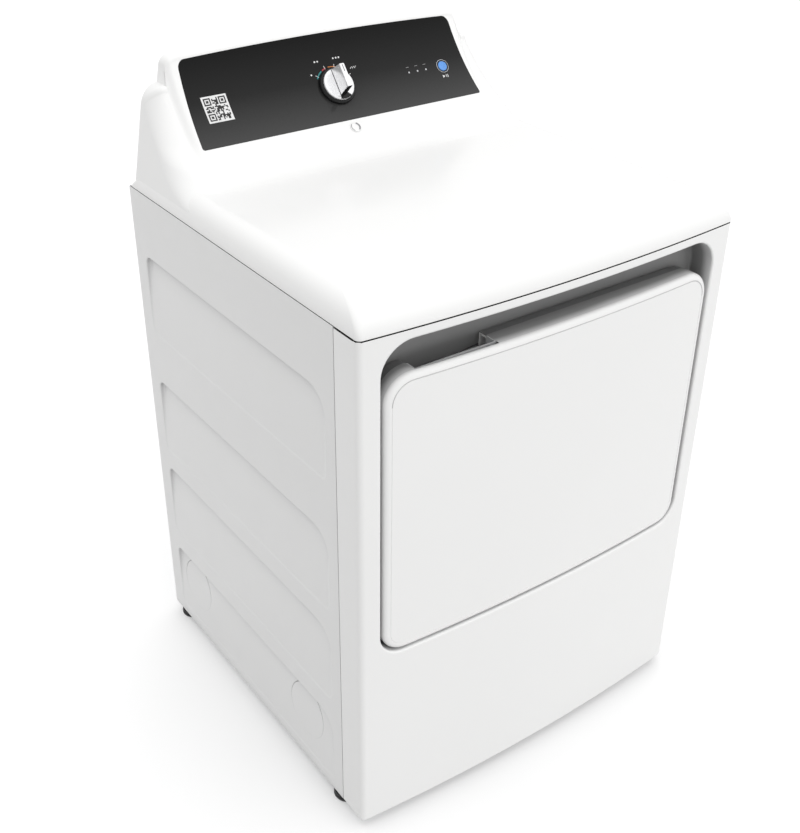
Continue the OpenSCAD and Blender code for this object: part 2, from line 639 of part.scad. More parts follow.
module front_bulkhead() color(zinc) difference() {
    union() {
        box([-322, bulk_y, 60], [322, bulk_y + 1.5, z_seam - 12]);
        y_prism(bulk_y + 1, bulk_y + 30) throat_shape(1.5);
        translate([0, 0, drum_z]) y_rod(collar_drum_r + 5, bulk_y + 28.5, bulk_y + 30);
        translate([0, 0, drum_z]) y_tube(collar_drum_r, 1.5, bulk_y + 28.5, bulk_y + 50);
    }
    y_prism(bulk_y - cut, bulk_y + 31) throat_shape(0);
    // Slot in the sill for the lint filter
    box([-filter_hw - 3.5, filter_y[0] - 3, 200],
        [filter_hw + 3.5, filter_y[1] + 3, sill + 20]);
    box([catch_x - 16, bulk_y - cut, catch_z - 22], [catch_x + 16, bulk_y + 3, catch_z + 22]);
    box([switch_x - 13, bulk_y - cut, switch_z - 16], [switch_x + 13, bulk_y + 3, switch_z + 16]);
}

// Low-friction pads that the drum's front lip rides on
module drum_glides() color("ivory") for (a = [-145, -120, -60, -35])
    translate([0, 0, drum_z]) rotate([0, -a, 0]) translate([collar_drum_r + 2.2, 0, 0])
        box([-2, bulk_y + 31, -22], [2, bulk_y + 49, 22]);

module lint_duct() color("gainsboro") difference() {
    union() {
        box([-filter_hw - 3, filter_y[0] - 2.5, 180],
            [filter_hw + 3, filter_y[1] + 2.5, sill - 2.5]);
        box([-175, filter_y[0] - 2.5, 62], [-20, blower_y[0] - air, 196]);
    }
    box([-filter_hw - 1, filter_y[0] - 1, 178], [filter_hw + 1, filter_y[1] + 1, sill]);
    box([-173, filter_y[0] - 1, 64], [-22, filter_y[1] + 1, 194]);
    translate([blower[0], 0, blower[1]]) y_rod(44, filter_y[1], blower_y[0] + 2);
}

module lint_filter_frame() color("gainsboro") difference() {
    box([-filter_hw, filter_y[0], filter_z[0]], [filter_hw, filter_y[1], filter_z[1]]);
    for (s = [-1, 1]) box([s * 64 - 60, filter_y[0] - cut, filter_z[0] + 8],
        [s * 64 + 60, filter_y[1] + cut, sill - 20]);
    // Hollow pulled by a finger
    box([-40, filter_y[0] + 3, sill - 12], [40, filter_y[1] - 3, sill + 20]);
}
module lint_filter_mesh() color(dark) for (s = [-1, 1]) difference() {
    box([s * 64 - 59.8, filter_y[0] + 5, filter_z[0] + 8.2],
        [s * 64 + 59.8, filter_y[0] + 5.8, sill - 20.2]);
    for (i = [-2:2], j = [0:5]) box([s * 64 + i * 23 - 10, filter_y[0], filter_z[0] + 14 + j * 25],
        [s * 64 + i * 23 + 10, filter_y[1], filter_z[0] + 35 + j * 25]);
}

// Rolled bead round the drum wall
function bead(r, y) = [[r, y], [r - 3, y + 6], [r - 3, y + 14], [r, y + 20]];
function reversed(list) = [for (i = [len(list) - 1:-1:0]) list[i]];
module drum_shell() color(zinc) translate([0, 0, drum_z]) y_turned(concat(
    [[collar_drum_r + 5.5, drum_y[0]], [drum_r - 3, drum_y[0]], [drum_r, drum_y[0] + 3]],
    bead(drum_r, drum_y[0] + 60),
    bead(drum_r, drum_y[1] - 70),
    [[drum_r, drum_y[1]], [drum_r - 1, drum_y[1]]],
    reversed(bead(drum_r - 1, drum_y[1] - 70)),
    reversed(bead(drum_r - 1, drum_y[0] + 60)),
    [[drum_r - 1, drum_y[0] + 3.5], [drum_r - 3.5, drum_y[0] + 1], [collar_drum_r + 5.5, drum_y[0] + 1]]));

module drum_back() color(zinc) translate([0, 0, drum_z]) difference() {
    union() {
        y_rod(drum_r - 1.2, drum_y[1] - 14, drum_y[1] - 12.8);
        y_tube(drum_r - 1.2, 1.2, drum_y[1] - 14, drum_y[1] - 1);
    }
    for (ring = [[70, 12], [92, 18], [114, 24], [136, 30]]) for (i = [0:ring[1] - 1])
        rotate([0, i * 360 / ring[1], 0]) translate([ring[0], 0, 0]) y_rod(4, drum_y[1] - 16, drum_y[1] - 10);
    y_rod(8, drum_y[1] - 16, drum_y[1]);
}

baffle_y = [drum_y[0] + 95, drum_y[1] - 88];
module drum_baffles() color("white") translate([0, 0, drum_z]) for (i = [0:baffle_count - 1])
    rotate([0, 90 + i * 360 / baffle_count, 0]) y_prism(baffle_y[0], baffle_y[1]) difference() {
        polygon(concat(arc([drum_r - 72, 0], 9, 110, 250), [[drum_r - 6, -44], [drum_r - 5.5, 44]]));
        polygon(concat(arc([drum_r - 72, 0], 6.5, 110, 250), [[drum_r - 8, -40], [drum_r - 8, 40]]));
    }

shaft_r = 9;
module drum_shaft() color(zinc) translate([0, 0, drum_z]) {
    y_rod(60, drum_y[1] - 12.6, drum_y[1] - 10.6);
    y_rod(shaft_r, drum_y[1] - 10.8, drum_y[1] + 40);
}
module rear_bearing() color("ivory") translate([0, 0, drum_z]) difference() {
    union() {
        y_rod(16, drum_y[1] + 8.5, drum_y[1] + 34);
        y_rod(24, drum_y[1] + 10.5, drum_y[1] + 13);
    }
    y_rod(shaft_r + 0.05, drum_y[1] + 4, drum_y[1] + 42);
}
module rear_bulkhead() color(zinc) difference() {
    union() {
        box([-326, drum_y[1] + 8.5, 300], [326, drum_y[1] + 10, z_seam - 12]);
        translate([0, 0, drum_z]) y_tube(drum_r + 6, 1.5, drum_y[1] - 22, drum_y[1] + 9);
    }
    translate([0, 0, drum_z]) y_rod(16.2, drum_y[1], drum_y[1] + 20);
    for (i = [0:7]) translate([0, 0, drum_z]) rotate([0, i * 45 + 22.5, 0])
        translate([110, 0, 0]) y_rod(24, drum_y[1], drum_y[1] + 20);
    box([-half_w, drum_y[1] - 30, drum_z + drum_r + 3], [half_w, drum_y[1] + 8, z_seam]);
}

heater_y = [drum_y[1] + 10.3, drum_y[1] + 50];
module heater_housing() color(zinc) translate([0, 0, drum_z]) difference() {
    y_rod(172, heater_y[0], heater_y[1]);
    y_rod(170, heater_y[0] - cut, heater_y[1] - 1.5);
    for (i = [0:11]) rotate([0, i * 30, 0]) translate([60, 0, 0])
        y_rod(10, heater_y[1] - 3, heater_y[1] + cut);
}
module heater_coils() color("sienna") translate([0, 0, drum_z]) for (r = [88, 112, 136])
    translate([0, heater_y[0] + 18, 0]) rotate([90, 0, 0])
        rotate_extrude() translate([r, 0]) circle(r = 4, $fn = 24);
module thermostats() color(black) {
    for (a = [35, 145]) translate([0, 0, drum_z]) rotate([0, -a, 0]) translate([130, 0, 0])
        y_rod(11, heater_y[1] + air, heater_y[1] + 10);
    translate([blower[0], 0, blower[1]]) translate([30, blower_y[1] + air, 55]) rotate([-90, 0, 0])
        cylinder(r = 10, h = 9);
}

// ---------- drive ----------

belt_y = [-34, -25];
belt_t = 2;
belt_gap = 0.4;
idler = [-138, 206];
module drive_loop(grow) hull() {
    translate([0, drum_z]) circle(r = drum_r + grow, $fn = 180);
    translate(blower) circle(r = pulley_r + grow, $fn = 60);
    translate(idler) circle(r = idler_r + grow, $fn = 60);
}
module drum_belt() color(black) y_prism(belt_y[0], belt_y[1]) difference() {
    drive_loop(belt_gap + belt_t);
    drive_loop(belt_gap);
}

motor_y = [blower_y[1] + 18, belt_y[0] - 22];
motor_r = 66;
module motor_body() color(dark) translate([blower[0], 0, blower[1]]) difference() {
    union() {
        y_rod(motor_r, motor_y[0] + 14, motor_y[1] - 14);
        y_rod(motor_r - 8, motor_y[0] + 3, motor_y[1] - 3);
        y_rod(16, motor_y[0], motor_y[1]);
    }
    y_rod(6.05, motor_y[0] - cut, motor_y[1] + cut);
    y_rod(30, motor_y[0] + 20, motor_y[1] - 20);
}
module motor_shaft() color(zinc) translate([blower[0], 0, blower[1]]) {
    y_rod(6, blower_y[0] + 14, belt_y[1] + 6);
    y_rod(29, motor_y[0] + 26, motor_y[1] - 26);
    y_rod(pulley_r, belt_y[0] - 3, belt_y[1] + 3);
    y_rod(pulley_r + 3, belt_y[0] - 5, belt_y[0] - 2);
    y_rod(pulley_r + 3, belt_y[1] + 2, belt_y[1] + 4);
}
module motor_bracket() color(zinc) difference() {
    union() {
        box([blower[0] - 75, motor_y[0] + 4, foot_h + 1.9],
            [blower[0] + 75, motor_y[1] - 4, foot_h + 5]);
        for (y = [motor_y[0] + 6, motor_y[1] - 9])
            box([blower[0] - 40, y, foot_h + 4], [blower[0] + 40, y + 3, 122]);
        // Post for the idler arm
        box([idler_pivot[0] - 16, motor_y[1] - 9, foot_h + 1.9],
            [blower[0] - 38, motor_y[1] - 6, idler_pivot[1] + 14]);
        translate([idler_pivot[0], 0, idler_pivot[1]]) y_rod(5, motor_y[1] - 8, belt_y[0] - 2);
    }
    translate([blower[0], 0, blower[1]]) y_rod(motor_r - 7.7, motor_y[0] - cut, motor_y[1] + cut);
}
module blower_wheel() color("ivory") translate([blower[0], 0, blower[1]]) difference() {
    union() {
        y_rod(66, blower_y[1] - 12, blower_y[1] - 10);
        y_rod(12, blower_y[0] + 14, blower_y[1] - 10);
        y_tube(66, 14, blower_y[0] + 6, blower_y[0] + 8);
        for (i = [0:23]) rotate([0, i * 15, 0]) translate([58, 0, 0]) rotate([0, 35, 0])
            box([-8, blower_y[0] + 7, -0.8], [7, blower_y[1] - 11, 0.8]);
    }
    y_rod(6, blower_y[0], blower_y[1] + 5);
}
function scroll(a0, grow) = [for (a = [0:10:360]) (a0 + grow + 26 * a / 360) * [cos(-a), sin(-a)]];
module blower_housing() color("gainsboro") difference() {
    union() {
        y_prism(blower_y[0], blower_y[1]) translate(blower) polygon(scroll(74, 2));
        box([blower[0], blower_y[0], vent_z - 45], [vent_x - 51, blower_y[1], vent_z - 2]);
    }
    y_prism(blower_y[0] + 2, blower_y[1] - 2) translate(blower) polygon(scroll(74, 0));
    box([blower[0], blower_y[0] + 2, vent_z - 43], [vent_x, blower_y[1] - 2, vent_z - 4]);
    translate([blower[0], 0, blower[1]]) y_rod(46, blower_y[0] - cut, blower_y[0] + 3);
    translate([blower[0], 0, blower[1]]) y_rod(14, blower_y[1] - 3, blower_y[1] + cut);
}

idler_pivot = [-196, 110];
module idler_arm() color(zinc) difference() {
    union() {
        hull() {
            translate([idler[0], 0, idler[1]]) y_rod(9, belt_y[0] - 7, belt_y[0] - 4);
            translate([idler_pivot[0], 0, idler_pivot[1]]) y_rod(11, belt_y[0] - 7, belt_y[0] - 4);
        }
        translate([idler[0], 0, idler[1]]) y_rod(4, belt_y[0] - 5, belt_y[1] + 5);
        translate([idler_pivot[0], 0, idler_pivot[1]]) y_rod(9, belt_y[0] - 24, belt_y[0] - 4);
    }
    translate([idler_pivot[0], 0, idler_pivot[1]]) y_rod(5.05, belt_y[0] - 28, belt_y[0]);
}
module idler_pulley() color("white") translate([idler[0], 0, idler[1]]) difference() {
    union() {
        y_rod(idler_r, belt_y[0] - 2, belt_y[1] + 2);
        y_rod(idler_r + 3, belt_y[0] - 3.5, belt_y[0] - 1.5);
        y_rod(idler_r + 3, belt_y[1] + 1.5, belt_y[1] + 3.5);
    }
    y_rod(4.05, belt_y[0] - 5, belt_y[1] + 5);
}
// Torsion spring wound round the arm's hub
module idler_spring() color(zinc) translate([idler_pivot[0], 0, idler_pivot[1]])
    for (i = [0:5]) translate([0, belt_y[0] - 22 + i * 2.6, 0]) rotate([90, 0, 0])
        rotate_extrude() translate([10.8, 0]) circle(r = 1.1, $fn = 16);

module exhaust_duct() color(zinc) translate([vent_x, 0, vent_z]) difference() {
    y_rod(50.6, blower_y[0], y_rear - 4);
    y_rod(49.4, blower_y[0] + 1.2, y_rear);
    box([-60, blower_y[0] + 2, -43], [-20, blower_y[1] - 2, -4]);
}
module exhaust_collar() color(zinc) translate([vent_x, 0, vent_z]) difference() {
    union() {
        y_rod(collar_r, y_rear + 1, y_rear + collar_out);
        y_rod(collar_r + 12, y_rear + 0.2, y_rear + 1.6);
        y_rod(49.1, y_rear - 26, y_rear + 1);
    }
    y_rod(48, y_rear - 30, y_rear + collar_out + cut);
}

module terminal_block() color(black) {
    difference() {
        box([-275, y_rear - 34, 190], [-195, y_rear - 4, 236]);
        for (i = [-1:1]) translate([-235 + i * 24, 0, 213]) y_rod(6, y_rear - 12, y_rear);
    }
    for (i = [-1:1]) translate([-235 + i * 24, 0, 213]) y_rod(3.5, y_rear - 13, y_rear - 6);
}

// Hexagon-head screws along the edges of the rear panel
module cabinet_screws() color(zinc) {
    both_sides() for (i = [0:5]) translate([half_w - 24, y_rear, 60 + i * 160]) rotate([-90, 0, 0]) {
        translate([0, 0, 0.05]) cylinder(r = 6.5, h = 0.8);
        translate([0, 0, 0.8]) cylinder(r = 4.6, h = 3, $fn = 6);
    }
    for (x = [-180:90:180]) translate([x, y_rear, z_seam - 14]) rotate([-90, 0, 0]) {
        translate([0, 0, 0.05]) cylinder(r = 6.5, h = 0.8);
        translate([0, 0, 0.8]) cylinder(r = 4.6, h = 3, $fn = 6);
    }
}

// ---------- feet ----------

foot_x = half_w - foot_r;
foot_y = [y_front + 78, y_rear - 30];
foot_bolt_r = 4;
module at_feet() for (x = [-foot_x, foot_x], y = foot_y) translate([x, y, 0]) children();
module foot(x, y) translate([x, y, 0]) {
    // Rubber pad with a stiff cap moulded over it
    color(black) rotate_extrude() polygon([[0, 0], [foot_r - 2, 0], [foot_r, 1.5], [foot_r, 5],
        [foot_r - 2.5, 6], [foot_r - 2.5, 7], [foot_r - 0.5, 7.8], [foot_r - 1, 11], [10, 12], [0, 12]]);
    color(zinc) translate([0, 0, 11]) cylinder(r = foot_bolt_r, h = foot_h + 24);
}
module foot_front_left() foot(-foot_x, foot_y[0]);
module foot_front_right() foot(foot_x, foot_y[0]);
module foot_rear_left() foot(-foot_x, foot_y[1]);
module foot_rear_right() foot(foot_x, foot_y[1]);

base_pan();
left_side_panel();
right_side_panel();
rear_panel();
front_panel();
top_panel();
console_shell();
console_fascia();
console_rear_cover();
console_badge();
indicator_lenses();
start_button_ring();
control_board();
selector_switch();
selector_knob();
selector_shaft();
start_button();
door_outer_panel();
door_inner_panel();
door_grip_cup();
door_seal();
door_strike();
door_hinge_arms();
door_hinge_pins();
hinge_leaves();
door_catch();
hinge_hole_plugs();
door_switch();
door_switch_plunger();
front_bulkhead();
drum_glides();
lint_duct();
lint_filter_frame();
lint_filter_mesh();
rear_bulkhead();
heater_housing();
heater_coils();
thermostats();
rear_bearing();
drum_shell();
drum_back();
drum_baffles();
drum_shaft();
drum_belt();
motor_body();
motor_bracket();
motor_shaft();
blower_wheel();
blower_housing();
idler_arm();
idler_pulley();
idler_spring();
exhaust_duct();
exhaust_collar();
terminal_block();
cabinet_screws();
foot_front_left();
foot_front_right();
foot_rear_left();
foot_rear_right();
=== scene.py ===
import json
import math
import random
import bmesh
import bpy
from mathutils import Matrix, Vector


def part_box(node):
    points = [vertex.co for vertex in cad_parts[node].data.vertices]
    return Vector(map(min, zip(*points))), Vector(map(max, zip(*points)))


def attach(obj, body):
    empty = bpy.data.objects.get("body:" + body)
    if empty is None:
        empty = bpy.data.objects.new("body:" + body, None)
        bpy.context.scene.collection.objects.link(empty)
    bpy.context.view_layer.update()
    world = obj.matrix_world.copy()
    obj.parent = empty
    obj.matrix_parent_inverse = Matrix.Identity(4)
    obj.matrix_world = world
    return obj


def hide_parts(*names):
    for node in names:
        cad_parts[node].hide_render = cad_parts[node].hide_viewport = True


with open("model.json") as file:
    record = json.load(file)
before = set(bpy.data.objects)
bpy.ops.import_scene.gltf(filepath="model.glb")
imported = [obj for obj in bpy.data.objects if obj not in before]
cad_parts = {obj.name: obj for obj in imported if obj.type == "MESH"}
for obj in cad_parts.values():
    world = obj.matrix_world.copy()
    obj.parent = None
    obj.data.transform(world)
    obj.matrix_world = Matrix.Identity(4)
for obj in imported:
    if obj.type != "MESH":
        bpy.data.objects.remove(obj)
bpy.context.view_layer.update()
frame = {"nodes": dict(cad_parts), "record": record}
NODES = frame["nodes"]
SLOT = {s["node"]: s["material_slot"] for s in frame["record"]["subparts"]}

scene = bpy.context.scene
scene.view_settings.view_transform = "Standard"
scene.view_settings.look = "None"


# ---------------------------------------------------------------- materials

def tree_of(name):
    m = bpy.data.materials.new(name)
    m.use_nodes = True
    nt = m.node_tree
    return m, nt, nt.nodes["Principled BSDF"]


def link(nt, a, b):
    nt.links.new(a, b)


def coords(nt, stretch=(1, 1, 1)):
    tc = nt.nodes.new("ShaderNodeTexCoord")
    mp = nt.nodes.new("ShaderNodeMapping")
    mp.inputs["Scale"].default_value = stretch
    link(nt, tc.outputs["Object"], mp.inputs["Vector"])
    return mp.outputs["Vector"]


def noise(nt, vec, scale, detail=3.0, rough=0.5):
    n = nt.nodes.new("ShaderNodeTexNoise")
    n.inputs["Scale"].default_value = scale
    n.inputs["Detail"].default_value = detail
    n.inputs["Roughness"].default_value = rough
    link(nt, vec, n.inputs["Vector"])
    return n.outputs["Fac"]


def ranged(nt, fac, lo, hi):
    r = nt.nodes.new("ShaderNodeMapRange")
    r.inputs["From Min"].default_value = 0.3
    r.inputs["From Max"].default_value = 0.7
    r.inputs["To Min"].default_value = lo
    r.inputs["To Max"].default_value = hi
    link(nt, fac, r.inputs["Value"])
    return r.outputs["Result"]


def ramp(nt, fac, stops):
    r = nt.nodes.new("ShaderNodeValToRGB")
    els = r.color_ramp.elements
    while len(els) < len(stops):
        els.new(0.5)
    for e, (at, c) in zip(els, stops):
        e.position = at
        e.color = (*c, 1)
    link(nt, fac, r.inputs["Fac"])
    return r.outputs["Color"]


def bumped(nt, bsdf, height, strength, distance, base=None):
    b = nt.nodes.new("ShaderNodeBump")
    b.inputs["Strength"].default_value = strength
    b.inputs["Distance"].default_value = distance
    link(nt, height, b.inputs["Height"])
    if base is not None:
        link(nt, base, b.inputs["Normal"])
    link(nt, b.outputs["Normal"], bsdf.inputs["Normal"])
    return b.outputs["Normal"]


def finish(name, color, rough, metal=0.0, spread=0.03, mottle=6.0, rough_spread=0.06,
           grain=500.0, depth=0.00003, strength=0.3, coat=0.0, stretch=(1, 1, 1), ior=None, sheen=0.0):
    """A surface whose tone, roughness and fine relief all vary a little, as a real finish does."""
    m, nt, bsdf = tree_of(name)
    vec = coords(nt, stretch)
    tone = noise(nt, vec, mottle, 4)
    dark = tuple(max(0, c * (1 - spread)) for c in color)
    light = tuple(min(1, c * (1 + spread)) for c in color)
    link(nt, ramp(nt, tone, [(0.3, dark), (0.7, light)]), bsdf.inputs["Base Color"])
    link(nt, ranged(nt, noise(nt, vec, mottle * 7, 3), rough - rough_spread, rough + rough_spread),
         bsdf.inputs["Roughness"])
    bumped(nt, bsdf, noise(nt, vec, grain, 2), strength, depth)
    bsdf.inputs["Metallic"].default_value = metal
    bsdf.inputs["Coat Weight"].default_value = coat
    bsdf.inputs["Coat Roughness"].default_value = 0.12
    if ior:
        bsdf.inputs["IOR"].default_value = ior
    if sheen:
        bsdf.inputs["Sheen Weight"].default_value = sheen
    return m


WHITE = (0.82, 0.82, 0.815)
MAT = {
    "white_enamel": finish("enamel", WHITE, 0.34, spread=0.008, mottle=2.5, rough_spread=0.04, grain=380,
                           depth=0.00002, strength=0.18, coat=0.25),
    "console_plastic": finish("console_white", (0.83, 0.83, 0.825), 0.38, spread=0.008, mottle=3,
                              rough_spread=0.04, grain=1500, depth=0.00001, strength=0.2, coat=0.1),
    "galvanised_sheet": finish("galvanised", (0.60, 0.61, 0.62), 0.42, 0.85, spread=0.14, mottle=38,
                               rough_spread=0.1, grain=900, depth=0.00002),
    "zinc_hardware": finish("zinc", (0.66, 0.66, 0.67), 0.32, 1.0, spread=0.08, mottle=60, grain=2500,
                            depth=0.00001),
    "chrome_trim": finish("chrome", (0.80, 0.80, 0.82), 0.12, 1.0, spread=0.03, mottle=40, rough_spread=0.04,
                          grain=1800, depth=0.000005, strength=0.1),
    "clear_lens": finish("lens", (0.50, 0.50, 0.52), 0.2, spread=0.05, mottle=300, grain=3000, coat=0.6),
    "grip_cup_grey": finish("grip_grey", (0.50, 0.505, 0.51), 0.5, spread=0.03, mottle=15, grain=2200,
                            depth=0.00003, strength=0.4),
    "black_plastic": finish("black_plastic", (0.018, 0.018, 0.019), 0.45, spread=0.2, mottle=30, grain=1800,
                            depth=0.00004, strength=0.4),
    "green_board": finish("board_green", (0.02, 0.12, 0.05), 0.35, spread=0.25, mottle=90, grain=700,
                          depth=0.00005, strength=0.5),
    "seal_rubber": finish("seal_rubber", (0.05, 0.05, 0.052), 0.7, spread=0.15, mottle=25, grain=1200,
                          depth=0.00008, strength=0.6, sheen=0.1),
    "natural_plastic": finish("natural_plastic", (0.70, 0.69, 0.64), 0.48, spread=0.04, mottle=12, grain=1500,
                              depth=0.00003),
    "filter_mesh": finish("filter_cloth", (0.16, 0.165, 0.175), 0.75, spread=0.25, mottle=260, grain=2600,
                          depth=0.0002, strength=0.8),
    "heater_ceramic": finish("element", (0.20, 0.12, 0.09), 0.6, 0.5, spread=0.3, mottle=50, grain=600,
                             depth=0.0001, strength=0.6),
    "drum_steel": finish("drum_enamel", (0.62, 0.62, 0.615), 0.34, 0.35, spread=0.03, mottle=9, grain=300,
                         depth=0.00003, coat=0.3),
    "motor_dark": finish("motor_varnish", (0.035, 0.036, 0.038), 0.4, 0.3, spread=0.2, mottle=20, grain=500,
                         depth=0.0001, strength=0.5),
    "foot_black": finish("foot_rubber", (0.012, 0.012, 0.013), 0.5, spread=0.2, mottle=40, grain=900,
                         depth=0.00006, strength=0.5),
}


def fascia_material():
    """Black print under a clear glossy film, lightened evenly down the slope by a painted reflection."""
    m, nt, bsdf = tree_of("fascia_print_painted_reflection")
    vec = coords(nt)
    sep = nt.nodes.new("ShaderNodeSeparateXYZ")
    link(nt, vec, sep.inputs["Vector"])
    r = nt.nodes.new("ShaderNodeMapRange")
    r.inputs["From Min"].default_value, r.inputs["From Max"].default_value = FASCIA_REFLECTION_FADE
    link(nt, sep.outputs["Z"], r.inputs["Value"])
    mix = nt.nodes.new("ShaderNodeMath")
    mix.operation = "ADD"
    link(nt, r.outputs["Result"], mix.inputs[0])
    link(nt, ranged(nt, noise(nt, vec, 900, 2), -0.03, 0.03), mix.inputs[1])
    # painted reflection: the print's black is lighter low on the slope
    link(nt, ramp(nt, mix.outputs["Value"], [(0.0, (0.052, 0.052, 0.052)), (0.45, (0.014, 0.014, 0.014)),
                                             (1.0, (0.002, 0.002, 0.002))]), bsdf.inputs["Base Color"])
    link(nt, ranged(nt, noise(nt, vec, 30, 3), 0.08, 0.13), bsdf.inputs["Roughness"])
    bumped(nt, bsdf, noise(nt, vec, 1200, 2), 0.12, 0.00001)
    bsdf.inputs["Specular IOR Level"].default_value = 0.16
    return m


def math_node(nt, op, a, b=None, c=None):
    n = nt.nodes.new("ShaderNodeMath")
    n.operation = op
    for i, v in enumerate((a, b, c)):
        if isinstance(v, (int, float)):
            n.inputs[i].default_value = v
        elif v is not None:
            link(nt, v, n.inputs[i])
    return n.outputs["Value"]


# The cabinet front at its corners, its bow at mid width, and half the cabinet's width
FRONT_CORNER_Y, BOW, HALF_WIDTH = -0.340, 0.016, 0.343
# How far behind the bowed front the recess is white, and where its painted shade is fully grey
RECESS_SHADE_FADE = (0.002, 0.034)
# Heights between which the painted reflection on the fascia fades, so the print is darkest at the top
FASCIA_REFLECTION_FADE = (0.978, 1.102)


def recess_shade_material():
    """White enamel at the lip of the door recess with painted shade that turns it dark grey deeper in."""
    m, nt, bsdf = tree_of("recess_painted_shade")
    vec = coords(nt)
    sep = nt.nodes.new("ShaderNodeSeparateXYZ")
    link(nt, vec, sep.inputs["Vector"])
    square = math_node(nt, "MULTIPLY", sep.outputs["X"], sep.outputs["X"])
    crown_y = math_node(nt, "MULTIPLY_ADD", square, -BOW / HALF_WIDTH ** 2, BOW - FRONT_CORNER_Y)
    depth = math_node(nt, "ADD", sep.outputs["Y"], crown_y)
    r = nt.nodes.new("ShaderNodeMapRange")
    r.inputs["From Min"].default_value, r.inputs["From Max"].default_value = RECESS_SHADE_FADE
    link(nt, depth, r.inputs["Value"])
    fac = math_node(nt, "ADD", r.outputs["Result"], ranged(nt, noise(nt, vec, 14, 3), -0.04, 0.04))
    # painted shade: darker the deeper into the recess
    link(nt, ramp(nt, fac, [(0.0, (0.78, 0.78, 0.78)), (0.3, (0.62, 0.62, 0.62)), (0.62, (0.28, 0.28, 0.28)),
                            (1.0, (0.23, 0.23, 0.23))]), bsdf.inputs["Base Color"])
    link(nt, ranged(nt, noise(nt, vec, 20, 3), 0.42, 0.5), bsdf.inputs["Roughness"])
    bumped(nt, bsdf, noise(nt, vec, 420, 2), 0.2, 0.00002)
    return m


# Reach of the painted shade that darkens the pressings' corners
CORNER_SHADE = 0.035


def side_shade_material():
    """Cabinet enamel with painted shade: a little darker than the front's white, and darker still in the
    corners of the pressings.
    """
    m, nt, bsdf = tree_of("side_enamel_painted_shade")
    vec = coords(nt)
    ao = nt.nodes.new("ShaderNodeAmbientOcclusion")
    ao.inputs["Distance"].default_value = CORNER_SHADE
    ao.samples = 12
    fac = math_node(nt, "ADD", ao.outputs["AO"], ranged(nt, noise(nt, vec, 2.5, 3), -0.01, 0.01))
    # painted shade: ambient occlusion darkens the colour
    link(nt, ramp(nt, fac, [(0.35, (0.22, 0.22, 0.22)), (0.6, (0.44, 0.44, 0.44)), (0.9, (0.69, 0.69, 0.69)),
                            (0.99, (0.745, 0.745, 0.742))]),
         bsdf.inputs["Base Color"])
    link(nt, ranged(nt, noise(nt, vec, 17, 3), 0.30, 0.38), bsdf.inputs["Roughness"])
    bumped(nt, bsdf, noise(nt, vec, 380, 2), 0.18, 0.00002)
    bsdf.inputs["Coat Weight"].default_value = 0.25
    bsdf.inputs["Coat Roughness"].default_value = 0.12
    return m


def liner_shade_material():
    """White liner paint with painted shade: it turns to the grey of the recess on upward faces."""
    m, nt, bsdf = tree_of("door_liner_painted_shade")
    vec = coords(nt)
    tc = nt.nodes.new("ShaderNodeTexCoord")
    sep = nt.nodes.new("ShaderNodeSeparateXYZ")
    link(nt, tc.outputs["Normal"], sep.inputs["Vector"])
    # painted shade on faces that look up
    up = math_node(nt, "MULTIPLY_ADD", sep.outputs["Z"], 3.0, -1.0)
    fac = math_node(nt, "ADD", up, ranged(nt, noise(nt, vec, 16, 3), -0.04, 0.04))
    link(nt, ramp(nt, fac, [(0.02, (0.80, 0.80, 0.795)), (0.9, (0.15, 0.15, 0.15))]),
         bsdf.inputs["Base Color"])
    link(nt, ranged(nt, noise(nt, vec, 20, 3), 0.36, 0.44), bsdf.inputs["Roughness"])
    bumped(nt, bsdf, noise(nt, vec, 420, 2), 0.2, 0.00002)
    return m


def belt_material():
    m, nt, bsdf = tree_of("belt_rubber")
    vec = coords(nt)
    w = nt.nodes.new("ShaderNodeTexWave")
    w.wave_type = "BANDS"
    w.bands_direction = "Y"
    w.inputs["Scale"].default_value = 110
    link(nt, vec, w.inputs["Vector"])
    link(nt, ramp(nt, noise(nt, vec, 40, 3), [(0.3, (0.012, 0.012, 0.012)), (0.7, (0.03, 0.03, 0.03))]),
         bsdf.inputs["Base Color"])
    link(nt, ranged(nt, noise(nt, vec, 90, 3), 0.55, 0.75), bsdf.inputs["Roughness"])
    bumped(nt, bsdf, w.outputs["Fac"], 0.8, 0.0006)
    return m


MAT["recess"] = recess_shade_material()
MAT["black_fascia"] = fascia_material()
LINER_SHADED = liner_shade_material()
# Grey painted shade for the door's crease groove
CREASE_SHADE = finish("crease_painted_shade", (0.58, 0.58, 0.58), 0.4, spread=0.04, mottle=12, grain=500, depth=0.00002)
SIDE_SHADED = side_shade_material()
MAT["belt_rubber"] = belt_material()
MAT["blue_button"] = finish("button_blue", (0.075, 0.26, 0.66), 0.28, spread=0.12, mottle=60, grain=900,
                            depth=0.00002, coat=0.6)
MAT["silver_black_knob"] = finish("knob_silver", (0.90, 0.90, 0.91), 0.24, 0.5, spread=0.05, mottle=30,
                                  rough_spread=0.05, grain=300, depth=0.00003, stretch=(14, 1, 1))
# The knob skirt's black, also used as painted shade in seams, gaps and on the knob
SKIRT_BLACK_AND_SHADE = finish("knob_skirt", (0.006, 0.006, 0.0065), 0.2, spread=0.2, mottle=40, grain=1400, depth=0.00002)
SKIRT_BLACK_AND_SHADE.node_tree.nodes["Principled BSDF"].inputs["Specular IOR Level"].default_value = 0.3
for node, obj in NODES.items():
    obj.data.materials.clear()
    obj.data.materials.append(LINER_SHADED if node == "door_inner_panel" else MAT[SLOT[node]])


# ---------------------------------------------------------------- mesh helpers

def arc(cx, cy, r, a0, a1, n):
    return [(cx + r * math.cos(math.radians(a0 + (a1 - a0) * i / n)),
             cy + r * math.sin(math.radians(a0 + (a1 - a0) * i / n))) for i in range(n + 1)]


